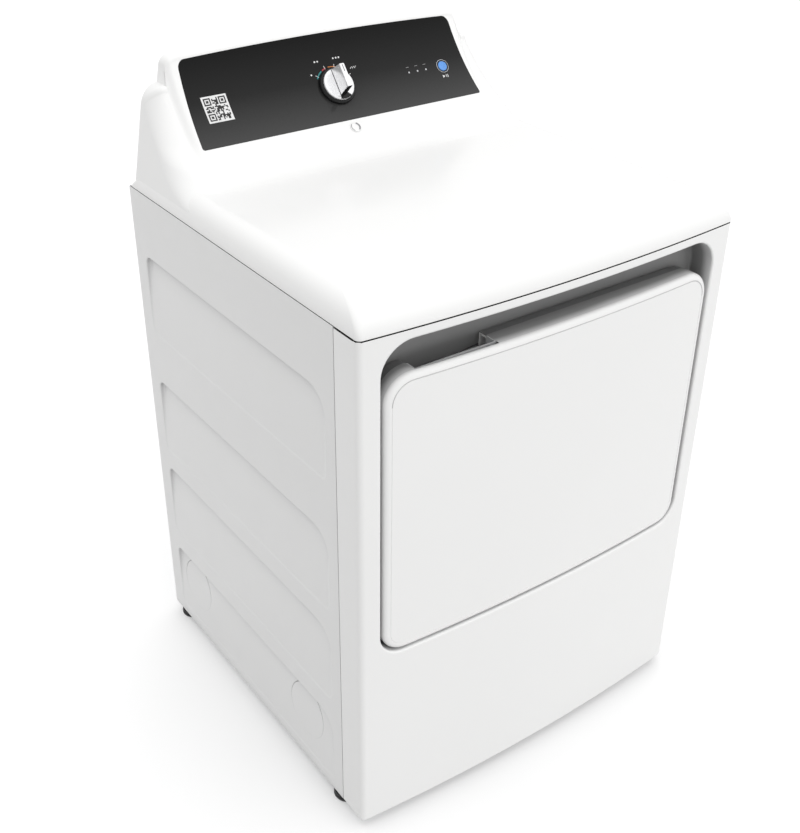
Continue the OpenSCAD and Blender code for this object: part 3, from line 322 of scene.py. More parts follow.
def round_rect(cx, cy, hw, hh, radii, inset=0.0, n=10, inset_v=None):
    """Rounded rectangle, radii top right, top left, bottom left, bottom right, drawn in by inset."""
    v = inset if inset_v is None else inset_v
    hw, hh = hw - inset, hh - v
    tr, tl, bl, br = [max(r - inset, 0.0004) for r in radii]
    return (arc(cx + hw - tr, cy + hh - tr, tr, 0, 90, n)
            + arc(cx - hw + tl, cy + hh - tl, tl, 90, 180, n)
            + arc(cx - hw + bl, cy - hh + bl, bl, 180, 270, n)
            + arc(cx + hw - br, cy - hh + br, br, 270, 360, n))


def circle(cx, cy, r, n=64):
    turns = [2 * math.pi * i / n for i in range(n)]
    return [(cx + r * math.cos(a), cy + r * math.sin(a)) for a in turns]


class Sheet:
    """A pressed sheet drawn flat: u across, w up, d into the sheet.

    Loops are bridged and filled, then mapped to their place.
    """

    def __init__(self):
        self.bm = bmesh.new()

    def loop(self, pts, d):
        return [self.bm.verts.new((u, w, d)) for u, w in pts]

    def bridge(self, a, b):
        n = len(a)
        for i in range(n):
            self.bm.faces.new((a[i], a[(i + 1) % n], b[(i + 1) % n], b[i]))

    def steps(self, make, profile):
        """Bridged loops made by make(inset) at each (inset, depth); returns the first and the last."""
        rings = [self.loop(make(i), d) for i, d in profile]
        for a, b in zip(rings, rings[1:]):
            self.bridge(a, b)
        return rings[0], rings[-1]

    def fill(self, *loops):
        edges = []
        for lp in loops:
            n = len(lp)
            for i in range(n):
                e = self.bm.edges.get((lp[i], lp[(i + 1) % n]))
                edges.append(e or self.bm.edges.new((lp[i], lp[(i + 1) % n])))
        bmesh.ops.triangle_fill(self.bm, use_beauty=True, use_dissolve=False, edges=edges)

    def cut(self, axis, places):
        no = Vector((1, 0, 0)) if axis == 0 else Vector((0, 1, 0))
        for p in places:
            bm = self.bm
            bmesh.ops.bisect_plane(bm, geom=bm.verts[:] + bm.edges[:] + bm.faces[:], dist=1e-6,
                                   plane_co=no * p, plane_no=no)

    def map(self, fn):
        for v in self.bm.verts:
            v.co = fn(*v.co)


def make_piece(name, bm, mat, body, nodes=(), angle=32, thick=0.0, weighted=True, bevel=0.0):
    bmesh.ops.remove_doubles(bm, verts=bm.verts[:], dist=1e-6)
    bmesh.ops.recalc_face_normals(bm, faces=bm.faces[:])
    me = bpy.data.meshes.new(name)
    bm.to_mesh(me)
    bm.free()
    me.polygons.foreach_set("use_smooth", [True] * len(me.polygons))
    me.set_sharp_from_angle(angle=math.radians(angle))
    o = bpy.data.objects.new(name, me)
    scene.collection.objects.link(o)
    for m in (mat if isinstance(mat, (list, tuple)) else [mat]):
        me.materials.append(m)
    if thick:
        s = o.modifiers.new("thickness", "SOLIDIFY")
        s.thickness = abs(thick)
        s.offset = -1 if thick > 0 else 1
        s.use_even_offset = True
    if bevel:
        b = o.modifiers.new("edge", "BEVEL")
        b.width = bevel
        b.segments = 3
        b.limit_method = "ANGLE"
        b.angle_limit = math.radians(40)
    if weighted:
        w = o.modifiers.new("shading", "WEIGHTED_NORMAL")
        w.keep_sharp = True
    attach(o, body)
    if nodes:
        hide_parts(*nodes)
    return o


def from_pydata(verts, faces):
    bm = bmesh.new()
    vs = [bm.verts.new(v) for v in verts]
    for f in faces:
        bm.faces.new([vs[i] for i in f])
    return bm


def lofted(rings, closed=True, caps=True):
    n = len(rings[0])
    verts = [p for r in rings for p in r]
    faces = []
    for k in range(len(rings) - 1):
        for i in range(n if closed else n - 1):
            j = (i + 1) % n
            faces.append((k * n + i, k * n + j, (k + 1) * n + j, (k + 1) * n + i))
    if caps:
        faces.append(tuple(range(n))[::-1])
        faces.append(tuple((len(rings) - 1) * n + i for i in range(n)))
    return from_pydata(verts, faces)


# ---------------------------------------------------------------- sizes read from the frame

side_lo, side_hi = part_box("left_side_panel")
fp_lo, fp_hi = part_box("front_panel")
door_lo, door_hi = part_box("door_outer_panel")
top_lo, top_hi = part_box("top_panel")
HW = -side_lo.x
Y_SIDE = side_lo.y
Y_REAR = side_hi.y
Z_LOW = side_lo.z
Z_SEAM = top_lo.z
Z_WORK = top_hi.z
Z_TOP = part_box("console_shell")[1].z
Y_FRONT = fp_lo.y + BOW
RECESS_D = 0.041
FLOOR_Y = Y_FRONT + RECESS_D


def bow(x):
    """Depth of the bowed front at x; it stands furthest out at mid width."""
    return Y_FRONT - BOW * (1 - (x / HW) ** 2)


# ---------------------------------------------------------------- side panels

# The four pressed pockets: depth range and heights
POCKET_Y = (Y_FRONT + 0.083, Y_REAR - 0.037)
POCKETS = ((0.040, 0.178), (0.218, 0.362), (0.402, 0.545), (0.640, 0.783))
# Share of the pressed depth at a pocket's lower edge, and what is added up to its upper edge
WEDGE = (0.1, 1.2)
# Section of a pressing's edge: inset and depth
PRESS = ((-0.0022, 0.0), (-0.0012, 0.0002), (-0.0003, 0.0009), (0.0004, 0.0020), (0.0011, 0.0034),
         (0.0020, 0.0046), (0.0034, 0.0055), (0.0056, 0.0059), (0.0080, 0.0060))


def side_panel(sign, node):
    s = Sheet()
    zt = side_hi.z
    cy, cz = (Y_SIDE + Y_REAR) / 2, (Z_LOW + zt) / 2
    hy, hz = (Y_REAR - Y_SIDE) / 2, (zt - Z_LOW) / 2
    edge = [(0.0012, 0.0), (0.0005, 0.00015), (0.00015, 0.0005), (0.0, 0.0012), (0.0, 0.012)]
    outer, _ = s.steps(lambda i: round_rect(cy, cz, hy, hz, (0.002,) * 4, i, 4), edge)
    rims = []
    for k, (z0, z1) in enumerate(POCKETS):
        def shape(i, z0=z0, z1=z1):
            return round_rect((POCKET_Y[0] + POCKET_Y[1]) / 2, (z0 + z1) / 2, (POCKET_Y[1] - POCKET_Y[0]) / 2,
                              (z1 - z0) / 2, (0.014, 0.042, 0.014, 0.014), i, 12)
        rim, floor = s.steps(shape, PRESS)
        rims.append(rim)
        rings = []
        if k == 0:
            for y in (Y_FRONT + 0.168, Y_REAR - 0.107):
                groove = [(0.0510, 0.006), (0.0507, 0.0067), (0.0500, 0.0070), (0.0495, 0.0067),
                          (0.0492, 0.006)]
                a, b = s.steps(lambda r, y=y: circle(y, 0.126, r), groove)
                rings.append(a)
                s.fill(b)
        s.fill(floor, *rings)
    s.fill(outer, *rims)
    s.cut(1, [z0 + (z1 - z0) * i / 12 for z0, z1 in POCKETS for i in range(1, 12)])
    # painted shadow: the top edge under the top panel's seam is black
    for f in s.bm.faces:
        c = f.calc_center_median()
        f.material_index = int(c.y > zt - 0.0006 and c.z > 0.0004)

    def place(u, w, d):
        """The pressings run out almost to nothing at their lower edge and are deepest along the upper."""
        for z0, z1 in POCKETS:
            if z0 - 0.003 < w < z1 + 0.003 and POCKET_Y[0] - 0.003 < u < POCKET_Y[1] + 0.003 and d > 0:
                t = min(1, max(0, (w - z0) / (z1 - z0)))
                d *= WEDGE[0] + WEDGE[1] * t ** 2
        return Vector((sign * (HW - d), u, w))
    s.map(place)
    return make_piece(node + "_skin", s.bm, [SIDE_SHADED, SKIRT_BLACK_AND_SHADE], "cabinet", [node], angle=50, thick=0.0009)


side_panel(-1, "left_side_panel")
side_panel(1, "right_side_panel")


# ---------------------------------------------------------------- front panel

# The door recess: half width and heights; inside it, the heights of the drum throat
OPEN_HW = 0.309
OPEN_Z = (Z_LOW + 0.338, door_hi.z + 0.050)
THROAT_Z = (0.390, 0.790)


def front_panel():
    s = Sheet()
    zt = fp_hi.z
    cz, hz = (Z_LOW + zt) / 2, (zt - Z_LOW) / 2
    edge = [(0.0085 * (1 - math.sin(math.radians(a))), 0.0085 * (1 - math.cos(math.radians(a))))
            for a in (0, 15, 30, 45, 60, 75, 90)] + [(0.0, 0.011)]
    rings = []
    for i, d in edge:
        iz = 0.0012 * max(0.0, 1 - d / 0.0012)
        rings.append(s.loop(round_rect(0, cz, HW, hz, (0.002,) * 4, i, 4, inset_v=iz), d))
    for a, b in zip(rings, rings[1:]):
        s.bridge(a, b)
    outer = rings[0]
    last = rings[-1]
    n = len(last)
    side_edges = [s.bm.edges.get((last[i], last[(i + 1) % n])) for i in range(n)
                  if abs(abs(last[i].co.x) - HW) < 1e-5 and abs(abs(last[(i + 1) % n].co.x) - HW) < 1e-5]
    got = bmesh.ops.extrude_edge_only(s.bm, edges=[e for e in side_edges if e])
    for g in got["geom"]:
        if isinstance(g, bmesh.types.BMVert):
            g.co.z = 0.055
    ocz, ohz = (OPEN_Z[0] + OPEN_Z[1]) / 2, (OPEN_Z[1] - OPEN_Z[0]) / 2

    def opening(i):
        return round_rect(0, ocz, OPEN_HW, ohz, (0.050, 0.050, 0.040, 0.040), i, 14)
    lip = [(-0.0034, 0.0), (-0.0024, 0.00018), (-0.0014, 0.0007), (-0.0006, 0.0016), (-0.0001, 0.0028),
           (0.0, 0.004), (0.0, 0.037), (0.0008, 0.0392), (0.0022, 0.0405), (0.004, RECESS_D)]
    rim, floor = s.steps(opening, lip)
    tcz, thz = (THROAT_Z[0] + THROAT_Z[1]) / 2, (THROAT_Z[1] - THROAT_Z[0]) / 2

    def throat(i):
        return round_rect(0, tcz, 0.215, thz, (0.110, 0.110, 0.060, 0.060), i, 16)
    t_rim, _ = s.steps(throat, [(-0.003, RECESS_D), (-0.0016, 0.0413), (-0.0005, 0.0422), (0.0, 0.0436),
                                (0.0, 0.0455)])
    slot_rim, _ = s.steps(lambda i: round_rect(-0.262, 0.595, 0.010, 0.016, (0.002,) * 4, i, 3),
                          [(0.0, RECESS_D), (0.0, 0.0425)])
    hole_rim, _ = s.steps(lambda r: circle(-0.255, 0.800, r, 32), [(0.0045, RECESS_D), (0.0045, 0.0425)])
    s.fill(floor, t_rim, slot_rim, hole_rim)
    s.fill(outer, rim)
    s.cut(0, [HW * (i / 26) for i in range(-25, 26)])
    for f in s.bm.faces:
        c = f.calc_center_median()
        # painted shade: faces inside the recess take the recess's painted shade
        f.material_index = int(c.z > 0.0045 and abs(c.x) < OPEN_HW + 1e-6 and OPEN_Z[0] < c.y < OPEN_Z[1])
        # painted shadow: the top flange under the seam is black
        if c.z > 0.0007 and c.y > zt - 0.0013 and abs(c.x) < HW:
            f.material_index = 2

    def place(u, w, d):
        inside = abs(u) <= OPEN_HW + 1e-6 and OPEN_Z[0] - 1e-6 <= w <= OPEN_Z[1] + 1e-6
        if d <= 0.004 or not inside:
            y = (bow(u) if d < 0.012 else Y_FRONT) + d
        elif d <= RECESS_D:
            f = (d - 0.004) / 0.037
            y = (bow(u) + 0.004) * (1 - f) + FLOOR_Y * f
        else:
            y = Y_FRONT + d
        return Vector((u, y, w))
    s.map(place)
    return make_piece("front_panel_skin", s.bm, [MAT["white_enamel"], MAT["recess"], SKIRT_BLACK_AND_SHADE], "cabinet",
                      ["front_panel"], angle=38, thick=0.0009)


front_panel()


# ---------------------------------------------------------------- door

DOOR_CZ, DOOR_HZ = (door_lo.z + door_hi.z) / 2, (door_hi.z - door_lo.z) / 2
DOOR_HW = door_hi.x
DOOR_EDGE_R, DOOR_EDGE_D = 0.008, 0.022
JOIN_Y = Y_FRONT + DOOR_EDGE_D
# The finger notch in the door's upper edge, and how high on the door the crease is given painted shade
GRIP_X = (-0.254, -0.117)
CREASE_SHADE_FROM = 0.8


def door_shape(i, n=16):
    return round_rect(0, DOOR_CZ, DOOR_HW, DOOR_HZ, (0.044, 0.044, 0.036, 0.036), i, n)


def door_panel():
    s = Sheet()
    r = DOOR_EDGE_R
    prof = [(0.0, DOOR_EDGE_D), (0.0, r)]
    prof += [(r * (1 - math.cos(math.radians(a))), r * (1 - math.sin(math.radians(a))))
             for a in (15, 30, 45, 60, 75, 90)]
    s.steps(door_shape, prof + [(0.0094, 0.0)])
    before = set(s.bm.faces)
    s.steps(door_shape, [(0.0094, 0.0), (0.0098, 0.0006), (0.0103, 0.0008), (0.0108, 0.0006), (0.0112, 0.0)])
    # painted shade: the crease groove turns grey high on the door
    for f in set(s.bm.faces) - before:
        f.material_index = 2 if f.calc_center_median().y > DOOR_CZ + CREASE_SHADE_FROM * DOOR_HZ else 0
    _, last = s.steps(door_shape, [(0.0112, 0.0), (0.0116, 0.0)])
    s.fill(last)
    s.cut(0, [HW * (i / 26) for i in range(-23, 24)] + list(GRIP_X))
    gone = [f for f in s.bm.faces if GRIP_X[0] < f.calc_center_median().x < GRIP_X[1]
            and f.calc_center_median().z > 0.0081 and f.calc_center_median().y > DOOR_CZ]
    bmesh.ops.delete(s.bm, geom=gone, context="FACES")
    s.bm.faces.ensure_lookup_table()
    # painted shade: the door's edge walls take the recess's painted shade
    for f in s.bm.faces:
        if f.calc_center_median().z > 0.0081:
            f.material_index = 1

    def place(u, w, d):
        b = bow(u)
        if d <= DOOR_EDGE_R:
            return Vector((u, b + d, w))
        f = (d - DOOR_EDGE_R) / (DOOR_EDGE_D - DOOR_EDGE_R)
        return Vector((u, (b + DOOR_EDGE_R) * (1 - f) + JOIN_Y * f, w))
    s.map(place)
    return make_piece("door_skin", s.bm, [MAT["white_enamel"], MAT["recess"], CREASE_SHADE], "door",
                      ["door_outer_panel"], angle=38, thick=0.0009)


door_panel()


# ---------------------------------------------------------------- top panel

def top_ring(a, t=0.0):
    c, s_ = math.cos(math.radians(a)), math.sin(math.radians(a))
    z = Z_SEAM + (Z_WORK - Z_SEAM - t) * s_
    hx = HW - 0.034 * (1 - c) - t
    yf = 0.061 * (1 - c) + t
    r = 0.0085 + 0.040 * (1 - c) - t / 2
    yr = max(Y_REAR - 0.024, Y_REAR - 0.024 * (z - Z_SEAM) / 0.019) - t
    q = 0.012 - t
    pts = arc(-hx + r, bow(hx - r) + yf + r, r, 180, 270, 12)
    pts += [((hx - r) * (i / 16 - 1), bow((hx - r) * (i / 16 - 1)) + yf) for i in range(1, 32)]
    pts += arc(hx - r, bow(hx - r) + yf + r, r, 270, 360, 12)
    pts += arc(hx - q, yr - q, q, 0, 90, 6) + arc(-hx + q, yr - q, q, 90, 180, 6)
    return [(x, y, z) for x, y in pts]


def top_panel():
    angles = [0, 2, 5, 8, 12, 16, 20, 24, 27.6] + list(range(31, 84, 4)) + [86, 88, 89.2, 90]
    bm = lofted([top_ring(a) for a in angles], caps=False)
    bm.verts.ensure_lookup_table()
    n = len(top_ring(0))
    lower = bm.verts[:n]
    bm.faces.new(bm.verts[-n:])
    hem = [bm.verts.new((v.co.x * 0.985, v.co.y * 0.985, v.co.z)) for v in lower]
    for i in range(n):
        bm.faces.new((lower[i], hem[i], hem[(i + 1) % n], lower[(i + 1) % n]))
    return make_piece("top_skin", bm, MAT["white_enamel"], "cabinet", ["top_panel"], angle=40, thick=0.001)


top_panel()


# ---------------------------------------------------------------- console

# The console's hollow front is an arc of radius R about (ARC_Y, ARC_Z); CON_Y is its flat back
R = 0.362
ARC_Y, ARC_Z = -0.050, Z_WORK + 0.316
CON_Y = Y_REAR - 0.024
# Along half its width: the crown is level to FLAT_X, rolls down to SHOULDER_X, slants to STEP_X,
# and the end wing turns back at END_X
FLAT_X, SHOULDER_X, STEP_X, END_X = 0.262, 0.283, 0.288, 0.290
SHOULDER_R = 0.021


def end_x(z):
    return HW - 0.0035 - 0.187 * (z - Z_WORK + 0.0224)


def crown(x, k):
    """Height of the console's upper edge at x; k runs from 0 to 1 round the end wing."""
    if x < FLAT_X:
        return Z_TOP - 0.005 * (x / FLAT_X) ** 2
    if x < SHOULDER_X:
        return Z_TOP - 0.005 - 0.018 * (1 - math.sqrt(max(0, 1 - ((x - FLAT_X) / SHOULDER_R) ** 2)))
    if x < STEP_X:
        return Z_TOP - 0.023 - 0.023 * (x - SHOULDER_X) / 0.005
    return Z_TOP - 0.047 - 0.027 * (1 - math.sqrt(max(0, 1 - k * k)))


def smooth(a, b, x):
    u = min(1, max(0, (x - a) / (b - a)))
    return u * u * (3 - 2 * u)


# Points along the foot's fillet and along the slope above it
NF, NA = 14, 34


def middle_curve(zt):
    a0 = math.radians(-55)
    p = (ARC_Y + R * math.cos(a0), ARC_Z + R * math.sin(a0))
    r = 0.109
    c = (p[0] - r * math.sin(math.radians(35)), p[1] + r * math.cos(math.radians(35)))
    top = math.asin((zt - 0.009 - ARC_Z) / R)
    out = []
    for i in range(NF):
        s_ = math.radians(4 + 31 * i / NF)
        out.append((c[0] + r * math.sin(s_), c[1] - r * math.cos(s_)))
    for i in range(NA):
        f = a0 + (top - a0) * i / (NA - 1)
        out.append((ARC_Y + R * math.cos(f), ARC_Z + R * math.sin(f)))
    return out


def end_curve(zt):
    r = 0.177
    p = (-0.007 + 0.236, Z_WORK + 0.027)
    c = (p[0] - r * math.sin(math.radians(45)), p[1] + r * math.cos(math.radians(45)))
    run = zt - 0.006 - p[1]
    out = []
    for i in range(NF):
        s_ = math.radians(5 + 40 * i / NF)
        out.append((c[0] + r * math.sin(s_), c[1] - r * math.cos(s_)))
    for i in range(NA):
        out.append((p[0] + run * i / (NA - 1), p[1] + run * i / (NA - 1)))
    return out


def console_ring(sgn, x, k):
    zt = crown(x, k)
    w = 1 - math.sqrt(max(0, 1 - k * k))
    back = 0.012 * smooth(0.274, STEP_X, x)
    mid, side = middle_curve(zt), end_curve(zt)
    front = []
    for i, (m, e) in enumerate(zip(mid, side)):
        f = smooth(NF * 0.8, NF + 12, i)
        my = m[0] + back * f
        front.append((my * (1 - w) + e[0] * w, m[1] * (1 - w) + e[1] * w))
    tip = front[-1]
    reach = min(0.007, (CON_Y - tip[0]) * 0.45)
    low = Z_WORK - 0.036
    path = [(front[0][0], low)] + front
    for deg in range(10, 91, 10):
        c, h = math.cos(math.radians(deg)), math.sin(math.radians(deg))
        path.append((tip[0] + reach * (1 - c), tip[1] + (zt - tip[1]) * h))
    path += arc(CON_Y - 0.004, zt - 0.004, 0.004, 80, 0, 4)
    path += [(CON_Y, low)]
    return [(sgn * (x + k * (end_x(z) - END_X)), y, z) for y, z in path]


def console():
    xs = [FLAT_X * i / 24 for i in range(25)]
    xs += [FLAT_X + SHOULDER_R * math.sin(math.radians(9 * i)) for i in range(1, 10)]
    xs += [i / 1000 for i in range(283, 290)]
    st = [(x, 0) for x in xs] + [(END_X, math.sin(math.radians(90 * j / 20))) for j in range(0, 21)]
    rings = [console_ring(-1, *q) for q in st[::-1]] + [console_ring(1, *q) for q in st[1:]]
    n = len(rings[0])
    bm = lofted(rings, closed=False, caps=False)
    bm.verts.ensure_lookup_table()
    for first in (0, (len(rings) - 1) * n):
        bm.faces.new(bm.verts[first:first + n])
    return make_piece("console_skin", bm, MAT["console_plastic"], "cabinet", ["console_shell"], angle=30,
                      thick=0.0025)


console()


# ---------------------------------------------------------------- fascia and controls

A_LOW, A_HIGH = -49.5, -25.7
A_MID = (A_LOW + A_HIGH) / 2
A_CTRL = -39.6


def on_slope(x, v, lift=0.0):
    """A point of the hollow front: v is the arc length above the fascia's lower edge, lift stands off."""
    a = math.radians(A_LOW) + v / R
    return Vector((x, ARC_Y + (R - lift) * math.cos(a), ARC_Z + (R - lift) * math.sin(a)))


def at_slope(v):
    """Place and turn of the flat frame touching the slope at arc length v: x across, y up, z outward."""
    a = math.radians(A_LOW) + v / R
    up = Vector((0, -math.sin(a), math.cos(a)))
    out = Vector((0, -math.cos(a), -math.sin(a)))
    m = Matrix.Identity(4)
    m.col[0][:3], m.col[1][:3], m.col[2][:3] = (1, 0, 0), up, out
    m.col[3][:3] = on_slope(0, v)
    return m


V_CTRL = math.radians(A_CTRL - A_LOW) * R


def inset_poly(pts, d):
    out = []
    n = len(pts)
    for i in range(n):
        p, q, r = Vector(pts[i - 1]), Vector(pts[i]), Vector(pts[(i + 1) % n])
        e1, e2 = (q - p), (r - q)
        n1 = Vector((-e1.y, e1.x)).normalized()
        n2 = Vector((-e2.y, e2.x)).normalized()
        b = (n1 + n2).normalized()
        out.append(tuple(q + b * d / max(0.4, b.dot(n1))))
    return out


def fascia():
    s = Sheet()
    h = R * math.sin(math.radians((A_HIGH - A_LOW) / 2))
    b = 0.2735
    t = b - 0.0095
    r = 0.016
    pts = arc(b - 0.004, -h + 0.004, 0.004, 270, 355, 6) + arc(t - r, h - r, r, 5, 90, 12)
    pts += [(-(t - r) * i / 16, h + 0.007 * (1 - (i / 16) ** 2)) for i in range(-15, 16)]
    pts += arc(-t + r, h - r, r, 90, 175, 12) + arc(-b + 0.004, -h + 0.004, 0.004, 185, 270, 6)
    prof = [(0.0, -0.0006), (0.0, 0.0), (0.0001, 0.0002), (0.0003, 0.00035), (0.0006, 0.0004)]
    _, last = s.steps(lambda i: inset_poly(pts, i), prof)
    s.fill(last)
    s.cut(1, [h * i / 13 for i in range(-12, 14)])

    def place(u, w, d):
        a = math.radians(A_MID) + math.asin(w / R)
        return Vector((u, ARC_Y + (R - d) * math.cos(a), ARC_Z + (R - d) * math.sin(a)))
    s.map(place)
    return make_piece("fascia_plate", s.bm, MAT["black_fascia"], "cabinet", ["console_fascia"], angle=30)


fascia()


def flat_print(name, color):
    return finish(name, color, 0.42, spread=0.05, mottle=200, grain=2000, depth=0.000005, strength=0.1)


INK = {
    "white": flat_print("ink_white", (0.72, 0.72, 0.72)),
    "teal": flat_print("ink_teal", (0.02, 0.26, 0.27)),
    "red": flat_print("ink_red", (0.42, 0.035, 0.045)),
    "orange": flat_print("ink_orange", (0.55, 0.17, 0.03)),
    "black": flat_print("ink_black", (0.012, 0.012, 0.012)),
    "grey": flat_print("ink_grey", (0.30, 0.30, 0.30)),
}


def patch(bm, pts, put, high, low):
    """A thin raised patch without a base: an outline set at two heights by put(x, y, height)."""
    top = [bm.verts.new(put(x, y, high)) for x, y in pts]
    foot = [bm.verts.new(put(x, y, low)) for x, y in pts]
    bm.faces.new(top)
    for i in range(len(pts)):
        j = (i + 1) % len(pts)
        bm.faces.new((foot[i], foot[j], top[j], top[i]))


PRINT_T = 0.0002


def printed(name, shapes, ink, lift=0.00055):
    """Screen printing: thin flat patches, each an outline in (x, v), laid on the curved slope."""
    bm = bmesh.new()
    for pts in shapes:
        patch(bm, pts, on_slope, lift, lift - PRINT_T)
    return make_piece(name, bm, INK[ink], "cabinet", weighted=False)


def bar(x0, v0, x1, v1, w):
    d = Vector((x1 - x0, v1 - v0)).normalized()
    nrm = Vector((-d.y, d.x)) * w / 2
    return [(x0 - nrm.x, v0 - nrm.y), (x1 - nrm.x, v1 - nrm.y),
            (x1 + nrm.x, v1 + nrm.y), (x0 + nrm.x, v0 + nrm.y)]


def ring_part(r, w, a0, a1, n=14):
    return (arc(0, V_CTRL, r - w / 2, a0, a1, n) + arc(0, V_CTRL, r + w / 2, a1, a0, n))


def polar(r, a):
    return r * math.cos(math.radians(a)), V_CTRL + r * math.sin(math.radians(a))


def tick(a, r0=0.0335, r1=0.0395, w=0.0009):
    (x0, v0), (x1, v1) = polar(r0, a), polar(r1, a)
    return bar(x0, v0, x1, v1, w)


printed("scale_ticks", [tick(142), tick(106), tick(76), tick(27)], "white")
# One, two and three dots stand for the heat settings
DOT_AT = ((-0.038, 0.0265), (-0.0245, 0.047), (-0.0190, 0.047), (0.0120, 0.048), (0.0175, 0.048),
          (0.0230, 0.048))
printed("scale_dots", [circle(x - 0.0005, V_CTRL + v, 0.0015, 16) for x, v in DOT_AT], "white")
printed("scale_air", [bar(x, V_CTRL + 0.0255, x + 0.0035, V_CTRL + 0.0290, 0.0009)
                      for x in (0.038, 0.042, 0.046)], "white")
printed("scale_teal", [ring_part(0.035, 0.0020, 121, 148)], "teal")
printed("scale_red", [ring_part(0.035, 0.0020, 104, 118)], "red")
printed("scale_orange", [ring_part(0.035, 0.0016, 66, 96)], "orange")
printed("start_symbol", [[(0.2135, V_CTRL - 0.0212), (0.2185, V_CTRL - 0.0186), (0.2135, V_CTRL - 0.0160)],
                         bar(0.2210, V_CTRL - 0.0212, 0.2210, V_CTRL - 0.0160, 0.0012),
                         bar(0.2242, V_CTRL - 0.0212, 0.2242, V_CTRL - 0.0160, 0.0012)], "white")
printed("lamp_marks", [bar(x - 0.003, V_CTRL + 0.0095, x + 0.003, V_CTRL + 0.0095, 0.0007)
                       for x in (0.1488, 0.1668, 0.1848)], "grey")


def block_label():
    """A square label of plain printed blocks; they are seeded random cells and carry no code."""
    side, x0, v0 = 0.0443, -0.244, 0.042
    h = side / 12
    # In strips, so that the flat outlines follow the curve
    strips = [[(x0, v), (x0 + side, v), (x0 + side, v + h), (x0, v + h)]
              for v in (v0 + i * h for i in range(12))]
    printed("label_base", strips, "white", 0.0006)
    rnd = random.Random(7)
    n = 19
    rim = 0.003
    c = (side - 2 * rim) / n
    cells = set()

    def frame_at(i, j, k):
        for a in range(k):
            for b in range(k):
                if a in (0, k - 1) or b in (0, k - 1) or (1 < a < k - 2 and 1 < b < k - 2):
                    cells.add((i + a, j + b))
    frame_at(0, 0, 6)
    frame_at(0, n - 6, 6)
    frame_at(n - 6, n - 6, 6)
    for i in range(n):
        for j in range(n):
            corner = (i < 7 and j < 7) or (i < 7 and j > n - 8) or (i > n - 8 and j > n - 8)
            if not corner and rnd.random() < 0.5:
                cells.add((i, j))
    shapes = []
    for i in range(n):
        j = 0
        while j < n:
            if (i, j) in cells:
                k = j
                while (i, k) in cells:
                    k += 1
                left, right = x0 + rim + i * c, x0 + rim + (i + 1) * c
                foot, head = v0 + rim + j * c, v0 + rim + k * c
                shapes.append([(left, foot), (right, foot), (right, head), (left, head)])
                j = k
            j += 1
    printed("label_blocks", shapes, "black", 0.0008)


block_label()


def turned(name, profile, place, mat, body, nodes=(), n=72, angle=30, x=0.0):
    """Solid of revolution about a frame's local z axis; profile is (radius, height) from the bottom up."""
    rings = [[place @ Vector((x + r * math.cos(2 * math.pi * i / n), r * math.sin(2 * math.pi * i / n), z))
              for i in range(n)] for r, z in profile]
    return make_piece(name, lofted(rings), mat, body, nodes, angle=angle)


def on(place):
    """Points given in a local frame, put into the world."""
    return lambda x, y, z: place @ Vector((x, y, z))


SLOPE = at_slope(V_CTRL)


def knob():
    skirt = [(0.0045, 0.0022), (0.0310, 0.0019), (0.0318, 0.0020), (0.0324, 0.0025), (0.0325, 0.0033),
             (0.0322, 0.0052), (0.0313, 0.0072), (0.0300, 0.0083), (0.0285, 0.0088), (0.0272, 0.0088),
             (0.0100, 0.0088)]
    face = [(0.0100, 0.0080), (0.0274, 0.0080), (0.0275, 0.0100), (0.0274, 0.0108), (0.0269, 0.0117),
            (0.0260, 0.0123), (0.0250, 0.0125), (0.0200, 0.0124), (0.0100, 0.0123), (0.0010, 0.0123)]
    turned("knob_skirt", skirt, SLOPE, SKIRT_BLACK_AND_SHADE, "selector", ["selector_knob"])
    turned("knob_face", face, SLOPE, MAT["silver_black_knob"], "selector")
    # Sections of the grip bar: height, half width, lower end, upper end, corner radius
    sections = ((0.0115, 0.0056, -0.0202, 0.0262, 0.0022), (0.0150, 0.00555, -0.0200, 0.0258, 0.0022),
                (0.0375, 0.00480, -0.0186, 0.0228, 0.0020), (0.0388, 0.00470, -0.0185, 0.0226, 0.0019),
                (0.0395, 0.00435, -0.0182, 0.0223, 0.0017), (0.0399, 0.00380, -0.0177, 0.0218, 0.0013),
                (0.0400, 0.00310, -0.0170, 0.0211, 0.0008))
    rings = []
    for z, hx, lo, hi, r in sections:
        ring = round_rect(0, (lo + hi) / 2, hx, (hi - lo) / 2, (r,) * 4, 0, 5)
        rings.append([SLOPE @ Vector((x, y, z)) for x, y in ring])
    bm = lofted(rings)
    down = SLOPE.to_3x3() @ Vector((0, -1, 0))
    bm.normal_update()
    # painted shade: faces turned down the slope take the skirt's black
    for f in bm.faces:
        f.material_index = int(f.normal.dot(down) > 0.55)
    make_piece("knob_bar", bm, [MAT["silver_black_knob"], SKIRT_BLACK_AND_SHADE], "selector", angle=35)
    bm = bmesh.new()
    n = 8
    pts = [(-0.0006, 0.0080 + 0.012 * i / n) for i in range(n + 1)]
    pts += [(0.0006, 0.0080 + 0.012 * i / n) for i in range(n, -1, -1)]
    patch(bm, pts, on(SLOPE), 0.04004, 0.0397)
    make_piece("knob_pointer", bm, INK["black"], "selector", weighted=False)
    # Painted shade: black from the lower end of the bar to the rim, and a dark line in the fold at the foot
    # of its flank
    end_shade = arc(0, 0, 0.0272, -106, -58, 12) + [(0.0085, -0.0165), (0.0050, -0.0195), (-0.0062, -0.0205)]
    fold_shade = [(-0.0062, -0.0205), (-0.0055, -0.0205), (-0.0055, 0.0262), (-0.0062, 0.0262)]
    bm = bmesh.new()
    for pts, z in ((end_shade, 0.0127), (fold_shade, 0.0129)):
        patch(bm, pts, on(SLOPE), z, 0.0119)
    make_piece("knob_painted_shade", bm, SKIRT_BLACK_AND_SHADE, "selector", weighted=False)


